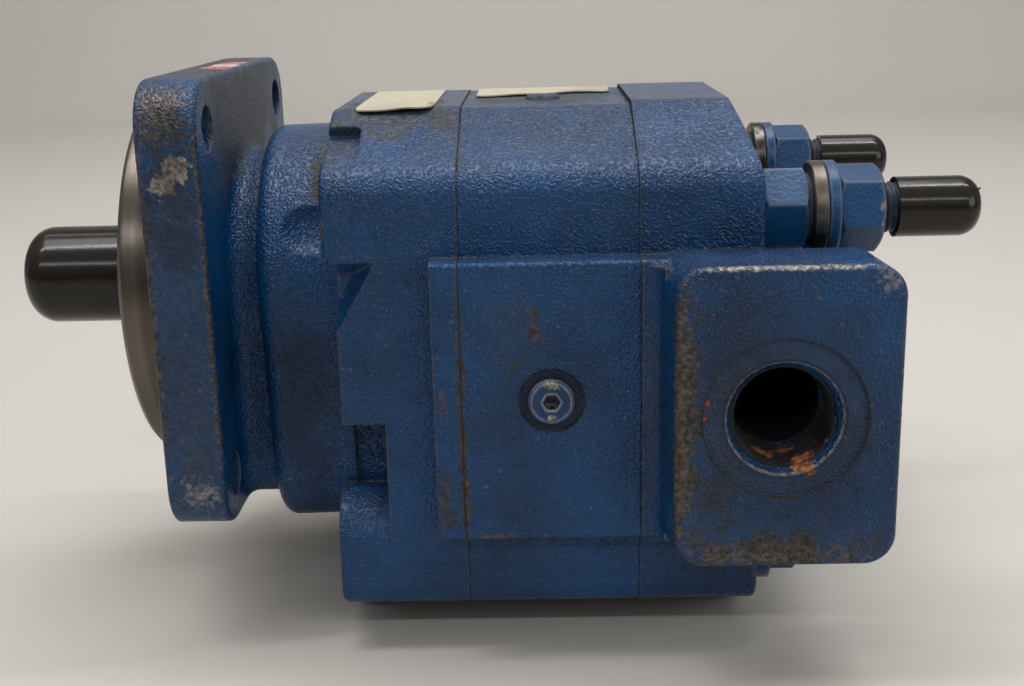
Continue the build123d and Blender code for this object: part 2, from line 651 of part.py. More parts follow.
# ================================================================== caps
def blind_cap(left, right, outer_r, bore_r, round_r, wall, y=0.0, z=0.0, flip=False):
    """Round-ended plastic cap along X, its closed end at left, or at right when flipped."""
    closed, mouth = (right, left) if flip else (left, right)
    step = -1 if flip else 1
    with BuildPart() as cap:
        with BuildSketch(Plane.XZ):
            with BuildLine():
                Polyline((closed, 0), (mouth, 0), (mouth, outer_r), (closed, outer_r), close=True)
            make_face()
            corner = vertices().filter_by(lambda v: abs(v.X - closed) < 0.01 and v.Y > 1)
            fillet(corner, round_r)
            with BuildLine():
                Polyline((closed + step * wall, 0), (mouth, 0), (mouth, bore_r),
                         (closed + step * (wall + round_r * 0.6), bore_r),
                         (closed + step * wall, bore_r - round_r * 0.6), close=True)
            make_face(mode=Mode.SUBTRACT)
        revolve(axis=Axis.X)
    return cap.part.moved(Location((0, y, z)))


save(blind_cap(shaft_cap_left, shaft_cap_right, shaft_cap_r, shaft_cap_bore_r + shaft_cap_fit,
               shaft_cap_round, shaft_cap_wall), "shaft_cap")
for name, y in (("near_stud_cap", -stud_y), ("far_stud_cap", stud_y)):
    cap = blind_cap(stud_cap_start, stud_cap_end, stud_cap_r, stud_r + cap_fit, stud_cap_round,
                    stud_cap_wall, y=y, z=upper_stud_z, flip=True)
    save(cap, name)


# ================================================================== studs, nuts, washers, bolts
def hexagon(start, end, places, turn, bore_r=0.0):
    """Chamfered hexagons along X at several (Y, Z) places, one solid each."""
    corner_r = nut_across_flats / sqrt(3)
    with BuildPart() as envelope:
        with BuildSketch(Plane.YZ.offset(start)):
            with Locations(places):
                Circle(corner_r)
        extrude(amount=end - start)
        chamfer(envelope.edges().filter_by(GeomType.CIRCLE), hex_chamfer, hex_chamfer * 1.8)
    with BuildPart() as hexes:
        with BuildSketch(Plane.YZ.offset(start)):
            with Locations(places):
                RegularPolygon(corner_r, 6, rotation=turn)
        extrude(amount=end - start)
        add(envelope.part, mode=Mode.INTERSECT)
        if bore_r:
            with BuildSketch(Plane.YZ.offset(start)):
                with Locations(places):
                    Circle(bore_r)
            extrude(amount=end - start, mode=Mode.SUBTRACT)
    return hexes.part


upper_places = [(-stud_y, upper_stud_z), (stud_y, upper_stud_z)]
lower_places = [(-stud_y, lower_stud_z), (stud_y, lower_stud_z)]
nut_bore_r = stud_r + thread_clearance

with BuildPart() as upper_studs:
    with BuildSketch(Plane.YZ.offset(stud_left)):
        with Locations(upper_places):
            Circle(stud_r)
    extrude(amount=stud_right - stud_left)
    chamfer(upper_studs.edges().filter_by(GeomType.CIRCLE), stud_chamfer)
save(upper_studs.part, "upper_studs")

with BuildPart() as clamp_nuts:
    add(hexagon(case_right, clamp_nut_right, upper_places, clamp_nut_turn, nut_bore_r))
    with BuildSketch(Plane.YZ.offset(clamp_nut_right)):
        with Locations(upper_places):
            Circle(nut_face_r)
        with Locations(upper_places):
            Circle(nut_bore_r, mode=Mode.SUBTRACT)
    extrude(amount=ring_gap)
save(clamp_nuts.part, "clamp_nuts")

with BuildPart() as spacer_rings:
    with BuildSketch(Plane.YZ.offset(ring_left)):
        with Locations(upper_places):
            Circle(ring_r)
        with Locations(upper_places):
            Circle(nut_bore_r + ring_play, mode=Mode.SUBTRACT)
    extrude(amount=ring_thickness)
    rims = spacer_rings.edges().filter_by(GeomType.CIRCLE)
    chamfer(rims.filter_by(lambda e: e.radius > ring_r - 0.1), ring_chamfer)
save(spacer_rings.part, "spacer_rings")

with BuildPart() as flat_washers:
    with BuildSketch(Plane.YZ.offset(washer_left)):
        with Locations(upper_places):
            Circle(ring_r)
        with Locations(upper_places):
            Circle(nut_bore_r + ring_play, mode=Mode.SUBTRACT)
    extrude(amount=washer_thickness)
    rims = flat_washers.edges().filter_by(GeomType.CIRCLE)
    chamfer(rims.filter_by(lambda e: e.radius > ring_r - 0.1), washer_chamfer)
save(flat_washers.part, "flat_washers")

bracket_nuts = hexagon(bracket_nut_left, bracket_nut_right, upper_places,
                       bracket_nut_turn, nut_bore_r)
save(bracket_nuts, "bracket_nuts")

with BuildPart() as bolt_washers:
    with BuildSketch(Plane.YZ.offset(case_right)):
        with Locations(lower_places):
            Circle(bolt_washer_r)
        with Locations(lower_places):
            Circle(bolt_hole_r, mode=Mode.SUBTRACT)
    extrude(amount=bolt_washer_thickness)
save(bolt_washers.part, "bolt_washers")

with BuildPart() as lower_bolts:
    head_left = case_right + bolt_washer_thickness
    add(hexagon(head_left, head_left + bolt_head_height, lower_places, 0))
    with BuildSketch(Plane.YZ.offset(head_left)):
        with Locations(lower_places):
            Circle(stud_r)
    extrude(amount=stud_left - head_left)
save(lower_bolts.part, "lower_bolts")

with BuildPart() as dowel_pins:
    for joint in (joint_front, joint_rear):
        with BuildSketch(Plane.YZ.offset(joint - dowel_length / 2 + dowel_end_gap)):
            with Locations(dowel_places):
                Circle(dowel_r)
        extrude(amount=dowel_length - 2 * dowel_end_gap)
    chamfer(dowel_pins.edges().filter_by(GeomType.CIRCLE), dowel_chamfer)
save(dowel_pins.part, "dowel_pins")

# ================================================================== gauge port plug
with BuildPart() as gauge_port_plug:
    seat_y = pad_y - gauge_spotface_depth
    with BuildSketch(Plane.XZ.offset(seat_y)):
        with Locations((gauge_x, mesh_z)):
            Circle(gauge_head_r)
    extrude(amount=gauge_head_height)
    chamfer(gauge_port_plug.faces().sort_by(Axis.Y)[0].edges(), plug_chamfer)
    with BuildSketch(Plane.XZ.offset(seat_y)):
        with Locations((gauge_x, mesh_z)):
            Circle(gauge_thread_r)
    extrude(amount=-plug_length)
    with BuildSketch(Plane.XZ.offset(seat_y)):
        with Locations((gauge_x, mesh_z)):
            Circle(gauge_thread_r + 1)
            Circle(plug_neck_r, mode=Mode.SUBTRACT)
    extrude(amount=-plug_neck_length, mode=Mode.SUBTRACT)
    with BuildSketch(Plane.XZ.offset(seat_y + gauge_head_height)):
        with Locations((gauge_x, mesh_z)):
            RegularPolygon(plug_socket / 2, 6, major_radius=False)
    extrude(amount=-plug_socket_depth, mode=Mode.SUBTRACT)
save(gauge_port_plug.part, "gauge_port_plug")

with BuildPart() as gauge_plug_o_ring:
    with BuildSketch(Plane.XZ.offset(seat_y - o_ring_play)):
        with Locations((gauge_x, mesh_z)):
            Circle(gauge_thread_r - o_ring_play)
            Circle(plug_neck_r + o_ring_play, mode=Mode.SUBTRACT)
    extrude(amount=-(plug_neck_length - 2 * o_ring_play))
save(gauge_plug_o_ring.part, "gauge_plug_o_ring")


# ================================================================== labels
def sheet(top, start, end, near, far):
    """Thin label lying on the cast outline between two stations."""
    with BuildPart() as label:
        with BuildSketch(Plane.YZ.offset(start)):
            add(case_outline(top))
            offset(amount=label_thickness)
            add(case_outline(top), mode=Mode.SUBTRACT)
            with Locations(((near + far) / 2, top)):
                Rectangle(far - near, label_reach, mode=Mode.INTERSECT)
        extrude(amount=end - start)
    return label.part


save(sheet(top_z - cover_step, cover_label_left, cover_label_right, cover_label_near, cover_label_far),
     "cover_label")
save(sheet(top_z - housing_step, housing_label_left, housing_label_right, housing_label_near,
           housing_label_far), "housing_label")
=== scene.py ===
import logging
import math
from dataclasses import dataclass
from enum import Enum
from typing import Callable, Iterable, Optional, Sequence, Union

import bpy
from mathutils import Matrix, Vector


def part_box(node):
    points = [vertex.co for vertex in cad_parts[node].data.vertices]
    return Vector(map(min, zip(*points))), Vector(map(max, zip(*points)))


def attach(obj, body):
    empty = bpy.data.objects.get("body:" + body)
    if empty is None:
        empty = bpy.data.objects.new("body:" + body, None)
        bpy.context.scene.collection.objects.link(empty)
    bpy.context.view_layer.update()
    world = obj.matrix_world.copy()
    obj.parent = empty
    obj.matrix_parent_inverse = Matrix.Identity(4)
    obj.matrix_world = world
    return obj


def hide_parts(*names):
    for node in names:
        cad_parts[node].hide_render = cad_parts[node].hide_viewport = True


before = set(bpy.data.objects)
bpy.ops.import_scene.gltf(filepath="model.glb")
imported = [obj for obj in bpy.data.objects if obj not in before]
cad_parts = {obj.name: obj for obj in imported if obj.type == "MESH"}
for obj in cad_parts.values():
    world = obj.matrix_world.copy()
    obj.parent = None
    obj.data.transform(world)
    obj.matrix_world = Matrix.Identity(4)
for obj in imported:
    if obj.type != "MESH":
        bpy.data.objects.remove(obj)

MM = 0.001
LOG = logging.getLogger("gear_pump")

Colour = tuple[float, float, float]
Point = tuple[float, float, float]
Feed = Union[float, Colour, bpy.types.NodeSocket]


class Body(Enum):
    """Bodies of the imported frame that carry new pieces."""

    PUMP = "pump_body"
    NEAR_CAP = "near_stud_cap"


class Slot(Enum):
    """Names of material slots in the record."""

    CASTING = "painted_casting"
    FASTENER = "painted_fastener"
    LABEL = "white_label"
    CAP = "black_cap"


class StainOrShade(Enum):
    """Kinds of mark on a painted surface; SHADE is near-black painted shade."""

    FILM = "film"
    GRIME = "grime"
    IRON = "iron"
    RUST = "rust"
    TORN = "torn"
    PAPER = "paper"
    PRIMER = "primer"
    RED = "red"
    SHADE = "shade"


class Pick(Enum):
    """What an edit-mode selection takes."""

    VERTS = "VERT"
    EDGES = "EDGE"
    FACES = "FACE"


def in_metres(point: Point) -> Point:
    """Change millimetres to metres."""
    return tuple(value * MM for value in point)


# ------------------------------------------------------------------ node wiring
class Wiring:
    """Adds nodes to one node tree and joins them."""

    def __init__(self, tree: bpy.types.NodeTree) -> None:
        """Keep the tree to be wired."""
        self.tree = tree

    def feed(self, socket: bpy.types.NodeSocket, value: Feed) -> None:
        """Link a socket to another one, or set its plain value.

        Args:
            socket: the input that takes the value.
            value: an output socket, a number, a colour or a vector.
        """
        if isinstance(value, bpy.types.NodeSocket):
            self.tree.links.new(value, socket)
        elif socket.type == "RGBA":
            socket.default_value = (*value, 1.0)
        else:
            socket.default_value = value

    def put(self, kind: str, feeds: Optional[dict] = None, **settings: object) -> bpy.types.Node:
        """Add one node.

        Args:
            kind: the node's type name.
            feeds: values or sockets for its inputs, by name or number.
            settings: the node's own properties.

        Returns:
            The new node.
        """
        node = self.tree.nodes.new(kind)
        for name, value in settings.items():
            setattr(node, name, value)
        self.feed_all(node, feeds or {})
        return node

    def feed_all(self, node: bpy.types.Node, feeds: dict) -> None:
        """Give several inputs of a node their values, by name or number."""
        for key, value in feeds.items():
            self.feed(node.inputs[key], value)

    def group(self, tree: bpy.types.NodeTree, **feeds: Feed) -> bpy.types.Node:
        """Place a shared group, with values for its inputs."""
        return self.put("ShaderNodeGroup", feeds, node_tree=tree)

    def math(self, operation: str, a: Feed, b: Feed = 0.0, c: Feed = 0.0) -> bpy.types.NodeSocket:
        """Combine up to three numbers.

        Args:
            operation: the Math node's operation.
            a: first number.
            b: second number.
            c: third number, for a multiply-add.

        Returns:
            The result's socket.
        """
        return self.put("ShaderNodeMath", {0: a, 1: b, 2: c}, operation=operation).outputs[0]

    def vector(self, operation: str, a: Feed, b: Feed = (0.0, 0.0, 0.0)) -> bpy.types.NodeSocket:
        """Combine two vectors.

        Args:
            operation: the Vector Math node's operation; LENGTH and DOT_PRODUCT give a number.
            a: first vector.
            b: second vector.

        Returns:
            The result's socket.
        """
        node = self.put("ShaderNodeVectorMath", {0: a, 1: b}, operation=operation)
        return node.outputs["Value" if operation in ("LENGTH", "DOT_PRODUCT") else "Vector"]

    def place(self) -> bpy.types.NodeSocket:
        """Object coordinates, in metres."""
        return self.put("ShaderNodeTexCoord").outputs["Object"]

    def split(self, vector: Feed) -> Sequence[bpy.types.NodeSocket]:
        """Part a vector in X, Y and Z."""
        return self.put("ShaderNodeSeparateXYZ", {0: vector}).outputs

    def wander(self, place: Feed, grain: float, reach: float) -> bpy.types.NodeSocket:
        """Shift coordinates at random, so that what is drawn on them gets uneven.

        Args:
            place: the coordinates.
            grain: scale of the shift, in features for each metre.
            reach: its size in metres.

        Returns:
            The shifted coordinates.
        """
        cloud = self.put("ShaderNodeTexNoise", {"Vector": place, "Scale": grain, "Detail": 2.0})
        feeds = {0: cloud.outputs["Color"], 1: (reach,) * 3, 2: place}
        return self.put("ShaderNodeVectorMath", feeds, operation="MULTIPLY_ADD").outputs[0]

    def join(self, x: Feed, y: Feed, z: Feed = 0.0) -> bpy.types.NodeSocket:
        """Make a vector of three numbers."""
        return self.put("ShaderNodeCombineXYZ", {0: x, 1: y, 2: z}).outputs[0]

    def blend(self, share: Feed, a: Feed, b: Feed) -> bpy.types.NodeSocket:
        """Mix two colours.

        Args:
            share: 0 gives the first colour and 1 the second.
            a: first colour.
            b: second colour.

        Returns:
            The mixed colour's socket.
        """
        return self.put("ShaderNodeMix", {0: share, 6: a, 7: b}, data_type="RGBA").outputs[2]

    def between(self, share: Feed, a: Feed, b: Feed) -> bpy.types.NodeSocket:
        """Mix two numbers.

        Args:
            share: 0 gives the first number and 1 the second.
            a: first number.
            b: second number.

        Returns:
            The mixed number's socket.
        """
        return self.put("ShaderNodeMix", {0: share, 2: a, 3: b}, data_type="FLOAT").outputs[0]

    def step(self, value: Feed, low: Feed, high: Feed) -> bpy.types.NodeSocket:
        """Soft step from 0 at low to 1 at high.

        Args:
            value: the number that is compared.
            low: where the step starts.
            high: where it is complete.

        Returns:
            The step's socket.
        """
        feeds = {"Value": value, "From Min": low, "From Max": high}
        return self.put("ShaderNodeMapRange", feeds, interpolation_type="SMOOTHSTEP").outputs[0]

    def noise(
        self, grain: Feed, place: Feed, detail: float = 3.0, rough: float = 0.55
    ) -> bpy.types.NodeSocket:
        """Fractal noise.

        Args:
            grain: scale, in features for each metre.
            place: the coordinates' socket.
            detail: octaves.
            rough: weight of the finer octaves.

        Returns:
            The noise value's socket, about 0 to 1.
        """
        feeds = {"Vector": place, "Scale": grain, "Detail": detail, "Roughness": rough}
        return self.put("ShaderNodeTexNoise", feeds).outputs[0]

    def cells(self, grain: Feed, place: Feed, share: Feed) -> tuple[bpy.types.NodeSocket, ...]:
        """Random cells, some of them chosen.

        Args:
            grain: scale, in cells for each metre.
            place: the coordinates' socket.
            share: how many of the cells are chosen, 0 to 1.

        Returns:
            The distance from a cell's middle, and 1 in the chosen cells.
        """
        node = self.put("ShaderNodeTexVoronoi", {"Vector": place, "Scale": grain})
        luck = self.put("ShaderNodeSeparateColor", {0: node.outputs["Color"]}).outputs[0]
        return node.outputs["Distance"], self.math("LESS_THAN", luck, share)

    def relief(self, height: Feed, depth: float, normal: Optional[Feed] = None) -> bpy.types.NodeSocket:
        """Turn a height into a normal.

        Args:
            height: the height's socket.
            depth: its depth in metres.
            normal: a normal to start from.

        Returns:
            The normal's socket.
        """
        feeds = {"Height": height, "Distance": depth, "Strength": 1.0}
        if normal is not None:
            feeds["Normal"] = normal
        return self.put("ShaderNodeBump", feeds).outputs[0]


class Effects:
    """Shader groups shared by the materials, each built once."""

    # A grain is in features for each metre, a height is a share of the finish's relief, a shake is
    # its grain and its reach in metres, and a band is where a soft step starts and where it ends.
    SHAKE = (700.0, 0.0011)
    DOME = (0.75, 0.05)
    PIMPLE_GRAIN = 480.0
    PIMPLE_SHARE = 0.5
    PIMPLE_REACH = 0.27
    PIMPLE_HEIGHT = 0.75
    COARSE_HEIGHT = 0.45
    SWELL_GRAIN = 38.0
    SWELL_HEIGHT = 1.4
    MOTTLE_GRAIN = 24.0
    BOXINESS = 4.0
    RAGGED_REACH = 4.0
    SEAM_SWING_GRAIN = 160.0
    WEAR_GAIN = 9.0
    WEAR_BAND = (-0.05, 0.2)
    CORNER_BAND = (0.005, 0.03)
    LEVEL_BAND = (0.35, 1.0)
    DUST_BAND = (0.3, 0.7)
    DUST_SHARES = (0.6, 0.4)
    SPECK_SHAKE = (900.0, 0.0016)
    SPECK_BAND = (0.34, 0.2)
    BROAD_SHARE = 0.12

    def __init__(self) -> None:
        """Build every group."""
        self.grain = self.cast_grain()
        self.patch = self.ragged_patch()
        self.seam = self.joint_seam()
        self.edge = self.edge_wear()
        self.settled = self.settled_dust()
        self.specks = self.scattered_specks()
        self.turned = self.turned_lines()

    @staticmethod
    def start(
        name: str, inputs: dict[str, tuple[str, Feed]], outputs: dict[str, str]
    ) -> tuple[bpy.types.NodeTree, Wiring, bpy.types.Node, bpy.types.Node]:
        """Begin a group.

        Args:
            name: the group's name.
            inputs: socket kind and starting value of each input.
            outputs: socket kind of each output.

        Returns:
            The group, its wiring, and its input and output nodes.
        """
        tree = bpy.data.node_groups.new(name, "ShaderNodeTree")
        kinds = {"float": "NodeSocketFloat", "vector": "NodeSocketVector", "colour": "NodeSocketColor"}
        for label, (kind, value) in inputs.items():
            socket = tree.interface.new_socket(label, in_out="INPUT", socket_type=kinds[kind])
            socket.default_value = value
        for label, kind in outputs.items():
            tree.interface.new_socket(label, in_out="OUTPUT", socket_type=kinds[kind])
        wiring = Wiring(tree)
        return tree, wiring, wiring.put("NodeGroupInput"), wiring.put("NodeGroupOutput")

    @classmethod
    def cast_grain(cls) -> bpy.types.NodeTree:
        """Skin of a sand casting under paint.

        Returns:
            A group with the skin's height and a slow mottle.
        """
        tree, w, given, out = cls.start(
            "cast_grain",
            {"Fine": ("float", 1050.0), "Coarse": ("float", 420.0), "Roughness": ("float", 0.34)},
            {"Height": "float", "Mottle": "float"},
        )
        place = w.place()
        moved = w.wander(place, *cls.SHAKE)
        fine = w.put("ShaderNodeTexVoronoi", {"Vector": moved, "Scale": given.outputs["Fine"]})
        spot, chosen = w.cells(cls.PIMPLE_GRAIN, moved, cls.PIMPLE_SHARE)
        lucky = w.math("MULTIPLY", chosen, cls.PIMPLE_HEIGHT)
        pimples = w.math("MULTIPLY", w.step(spot, cls.PIMPLE_REACH, 0.0), lucky)
        bumps = w.math("ADD", w.step(fine.outputs["Distance"], *cls.DOME), pimples)
        coarse = w.noise(given.outputs["Coarse"], place, 3.0, 0.6)
        swell = w.math("MULTIPLY", w.noise(cls.SWELL_GRAIN, place, 2.0, 0.5), cls.SWELL_HEIGHT)
        broad = w.math("MULTIPLY_ADD", coarse, cls.COARSE_HEIGHT, swell)
        w.feed(out.inputs["Height"], w.math("MULTIPLY_ADD", bumps, given.outputs["Roughness"], broad))
        w.feed(out.inputs["Mottle"], w.noise(cls.MOTTLE_GRAIN, place, 4.0, 0.6))
        return tree

    @classmethod
    def ragged_patch(cls) -> bpy.types.NodeTree:
        """Box-like patch with a torn outline.

        Returns:
            A group that is 1 inside the patch and 0 outside.
        """
        tree, w, given, out = cls.start(
            "ragged_patch",
            {
                "Centre": ("vector", (0.0, 0.0, 0.0)),
                "Reach": ("vector", (0.01, 0.01, 0.01)),
                "Ragged": ("float", 0.5),
                "Grain": ("float", 300.0),
                "Soft": ("float", 0.15),
                "Paired": ("float", 0.0),
            },
            {"Mask": "float"},
        )
        place = w.place()
        parts = w.split(place)
        folded = w.math("MULTIPLY", w.math("ABSOLUTE", parts[1]), -1.0)
        across = w.between(given.outputs["Paired"], parts[1], folded)
        off = w.vector("SUBTRACT", w.join(parts[0], across, parts[2]), given.outputs["Centre"])
        total: Feed = 0.0
        for axis in w.split(w.vector("DIVIDE", off, given.outputs["Reach"])):
            total = w.math("ADD", total, w.math("POWER", w.math("ABSOLUTE", axis), cls.BOXINESS))
        far = w.math("POWER", total, 1.0 / cls.BOXINESS)
        torn = w.math("SUBTRACT", w.noise(given.outputs["Grain"], place, 5.0, 0.62), 0.5)
        reach = w.math("MULTIPLY", given.outputs["Ragged"], cls.RAGGED_REACH)
        edge = w.math("MULTIPLY_ADD", torn, reach, far)
        inside = w.step(edge, 1.0, w.math("SUBTRACT", 1.0, given.outputs["Soft"]))
        w.feed(out.inputs["Mask"], inside)
        return tree

    @classmethod
    def joint_seam(cls) -> bpy.types.NodeTree:
        """Thin line across X where two castings meet.

        Returns:
            A group that is 1 on the line.
        """
        tree, w, given, out = cls.start(
            "joint_seam",
            {"Station": ("float", 0.1), "Half": ("float", 0.00022), "Waver": ("float", 0.0002)},
            {"Mask": "float"},
        )
        place = w.place()
        half = given.outputs["Half"]
        swing = w.math("SUBTRACT", w.noise(cls.SEAM_SWING_GRAIN, place, 4.0), 0.5)
        along = w.math("MULTIPLY_ADD", swing, given.outputs["Waver"], w.split(place)[0])
        off = w.math("ABSOLUTE", w.math("SUBTRACT", along, given.outputs["Station"]))
        w.feed(out.inputs["Mask"], w.step(off, half, w.math("MULTIPLY", half, 0.4)))
        return tree

    @classmethod
    def edge_wear(cls) -> bpy.types.NodeTree:
        """Broken line of wear along edges, and the rounded normal there.

        Returns:
            A group with the wear mask and the softened normal.
        """
        tree, w, given, out = cls.start(
            "edge_wear",
            {"Radius": ("float", 0.001), "Amount": ("float", 0.5), "Grain": ("float", 350.0)},
            {"Mask": "float", "Normal": "vector"},
        )
        place = w.place()
        soft = w.put("ShaderNodeBevel", {"Radius": given.outputs["Radius"]}, samples=6).outputs[0]
        hard = w.put("ShaderNodeNewGeometry").outputs["Normal"]
        turn = w.math("SUBTRACT", 1.0, w.vector("DOT_PRODUCT", soft, hard))
        broken = w.noise(given.outputs["Grain"], place, 5.0, 0.65)
        level = w.math("MULTIPLY", turn, w.math("MULTIPLY", given.outputs["Amount"], cls.WEAR_GAIN))
        worn = w.step(w.math("ADD", level, w.math("SUBTRACT", broken, 1.0)), *cls.WEAR_BAND)
        w.feed(out.inputs["Mask"], w.math("MULTIPLY", worn, w.step(turn, *cls.CORNER_BAND)))
        w.feed(out.inputs["Normal"], soft)
        return tree

    @classmethod
    def settled_dust(cls) -> bpy.types.NodeTree:
        """Dust that lies where a surface looks up.

        Returns:
            A group that is near 1 on level tops and 0 on walls.
        """
        tree, w, given, out = cls.start(
            "settled_dust", {"Amount": ("float", 0.5), "Grain": ("float", 60.0)}, {"Mask": "float"}
        )
        place = w.place()
        facing = w.split(w.put("ShaderNodeNewGeometry").outputs["Normal"])[2]
        cloud = w.step(w.noise(given.outputs["Grain"], place, 6.0, 0.65), *cls.DUST_BAND)
        thick = w.math("MULTIPLY_ADD", cloud, *cls.DUST_SHARES)
        level = w.math("MULTIPLY", w.step(facing, *cls.LEVEL_BAND), thick)
        w.feed(out.inputs["Mask"], w.math("MULTIPLY", level, given.outputs["Amount"]))
        return tree

    @classmethod
    def scattered_specks(cls) -> bpy.types.NodeTree:
        """Small separate specks, such as chips and grit.

        Returns:
            A group that is 1 on a speck.
        """
        tree, w, given, out = cls.start(
            "scattered_specks", {"Grain": ("float", 220.0), "Share": ("float", 0.1)}, {"Mask": "float"}
        )
        moved = w.wander(w.place(), *cls.SPECK_SHAKE)
        spot, chosen = w.cells(given.outputs["Grain"], moved, given.outputs["Share"])
        w.feed(out.inputs["Mask"], w.math("MULTIPLY", chosen, w.step(spot, *cls.SPECK_BAND)))
        return tree

    @classmethod
    def turned_lines(cls) -> bpy.types.NodeTree:
        """Fine lines that a lathe tool leaves round an axis along X.

        Returns:
            A group with the lines' height and a broad tone.
        """
        tree, w, given, out = cls.start(
            "turned_lines",
            {"Centre": ("vector", (0.0, 0.0, 0.0)), "Pitch": ("float", 2500.0)},
            {"Height": "float", "Tone": "float"},
        )
        x, y, z = w.split(w.vector("SUBTRACT", w.place(), given.outputs["Centre"]))
        track = w.join(x, w.vector("LENGTH", w.join(y, z)))
        broad = w.math("MULTIPLY", given.outputs["Pitch"], cls.BROAD_SHARE)
        w.feed(out.inputs["Height"], w.noise(given.outputs["Pitch"], track, 3.0, 0.7))
        w.feed(out.inputs["Tone"], w.noise(broad, track, 3.0, 0.6))
        return tree


# ------------------------------------------------------------------ finishes
@dataclass(frozen=True)
class Mark:
    """One stain, chip, worn place or patch of painted shade, in millimetres."""

    stain: StainOrShade
    centre: Point
    reach: Point
    strength: float = 1.0
    ragged: float = 0.3
    grain: float = 260.0
    soft: float = 0.3
    paired: bool = False

    def mask(self, w: Wiring, effects: Effects) -> bpy.types.NodeSocket:
        """Wire the mark's mask.

        Args:
            w: the material's wiring.
            effects: the shared groups.

        Returns:
            The mask, already times the mark's strength.
        """
        node = w.group(
            effects.patch,
            Centre=in_metres(self.centre),
            Reach=in_metres(self.reach),
            Ragged=self.ragged,
            Grain=self.grain,
            Soft=self.soft,
            Paired=float(self.paired),
        )
        return w.math("MULTIPLY", node.outputs["Mask"], self.strength)


@dataclass(frozen=True)
class Ring:
    """Worn, dirty or painted-shade line round a port on the -Y side, in millimetres."""

    stain: StainOrShade
    centre: Point
    radius: float
    half: float
    strength: float = 1.0
    core: float = 0.4
    swing_grain: float = 420.0
    full_to: float = 5.0
    gone_at: float = 6.0

    def mask(self, w: Wiring, effects: Effects) -> bpy.types.NodeSocket:
        """Wire the ring's mask.

        Args:
            w: the material's wiring.
            effects: the shared groups.

        Returns:
            The mask, already times the ring's strength.
        """
        place = w.place()
        x, y, z = w.split(w.vector("SUBTRACT", place, in_metres(self.centre)))
        radius = w.vector("LENGTH", w.join(x, z))
        swing = w.math("SUBTRACT", w.noise(self.swing_grain, place, 4.0), 0.5)
        wavy = w.math("MULTIPLY_ADD", swing, self.half * MM, radius)
        off_line = w.math("ABSOLUTE", w.math("SUBTRACT", wavy, self.radius * MM))
        line = w.step(off_line, self.half * MM, self.half * self.core * MM)
        near = w.step(w.math("ABSOLUTE", y), self.gone_at * MM, self.full_to * MM)
        return w.math("MULTIPLY", w.math("MULTIPLY", line, near), self.strength)


@dataclass(frozen=True)
class StainOrShadeLook:
    """Colour and surface of one kind of stain, or of painted shade."""

    colour: Colour
    roughness: float
    metal: float = 0.0


STAIN_AND_SHADE_LOOKS: dict[StainOrShade, StainOrShadeLook] = {
    StainOrShade.FILM: StainOrShadeLook((0.038, 0.046, 0.051), 0.5),
    StainOrShade.GRIME: StainOrShadeLook((0.036, 0.031, 0.024), 0.6),
    StainOrShade.IRON: StainOrShadeLook((0.082, 0.064, 0.047), 0.33, 0.5),
    StainOrShade.RUST: StainOrShadeLook((0.085, 0.042, 0.020), 0.8),
    StainOrShade.TORN: StainOrShadeLook((0.27, 0.245, 0.205), 0.3, 0.4),
    StainOrShade.PAPER: StainOrShadeLook((0.50, 0.43, 0.38), 0.55),
    StainOrShade.PRIMER: StainOrShadeLook((0.36, 0.12, 0.035), 0.5),
    StainOrShade.RED: StainOrShadeLook((0.55, 0.02, 0.02), 0.4),
    # Near-black colour of painted shade; the joint seams are drawn in it as well.
    StainOrShade.SHADE: StainOrShadeLook((0.004, 0.004, 0.005), 0.7),
}


class Finish:
    """Base of all finishes: owns the material and its shader."""

    name: str

    def begin(self) -> tuple[bpy.types.Material, Wiring, bpy.types.Node]:
        """Make an empty material with a Principled shader.

        Returns:
            The material, its wiring and the shader.
        """
        material = bpy.data.materials.new(self.name)
        material.use_nodes = True
        material.node_tree.nodes.clear()
        w = Wiring(material.node_tree)
        shader = w.put("ShaderNodeBsdfPrincipled")
        out = w.put("ShaderNodeOutputMaterial")
        w.tree.links.new(shader.outputs[0], out.inputs["Surface"])
        return material, w, shader


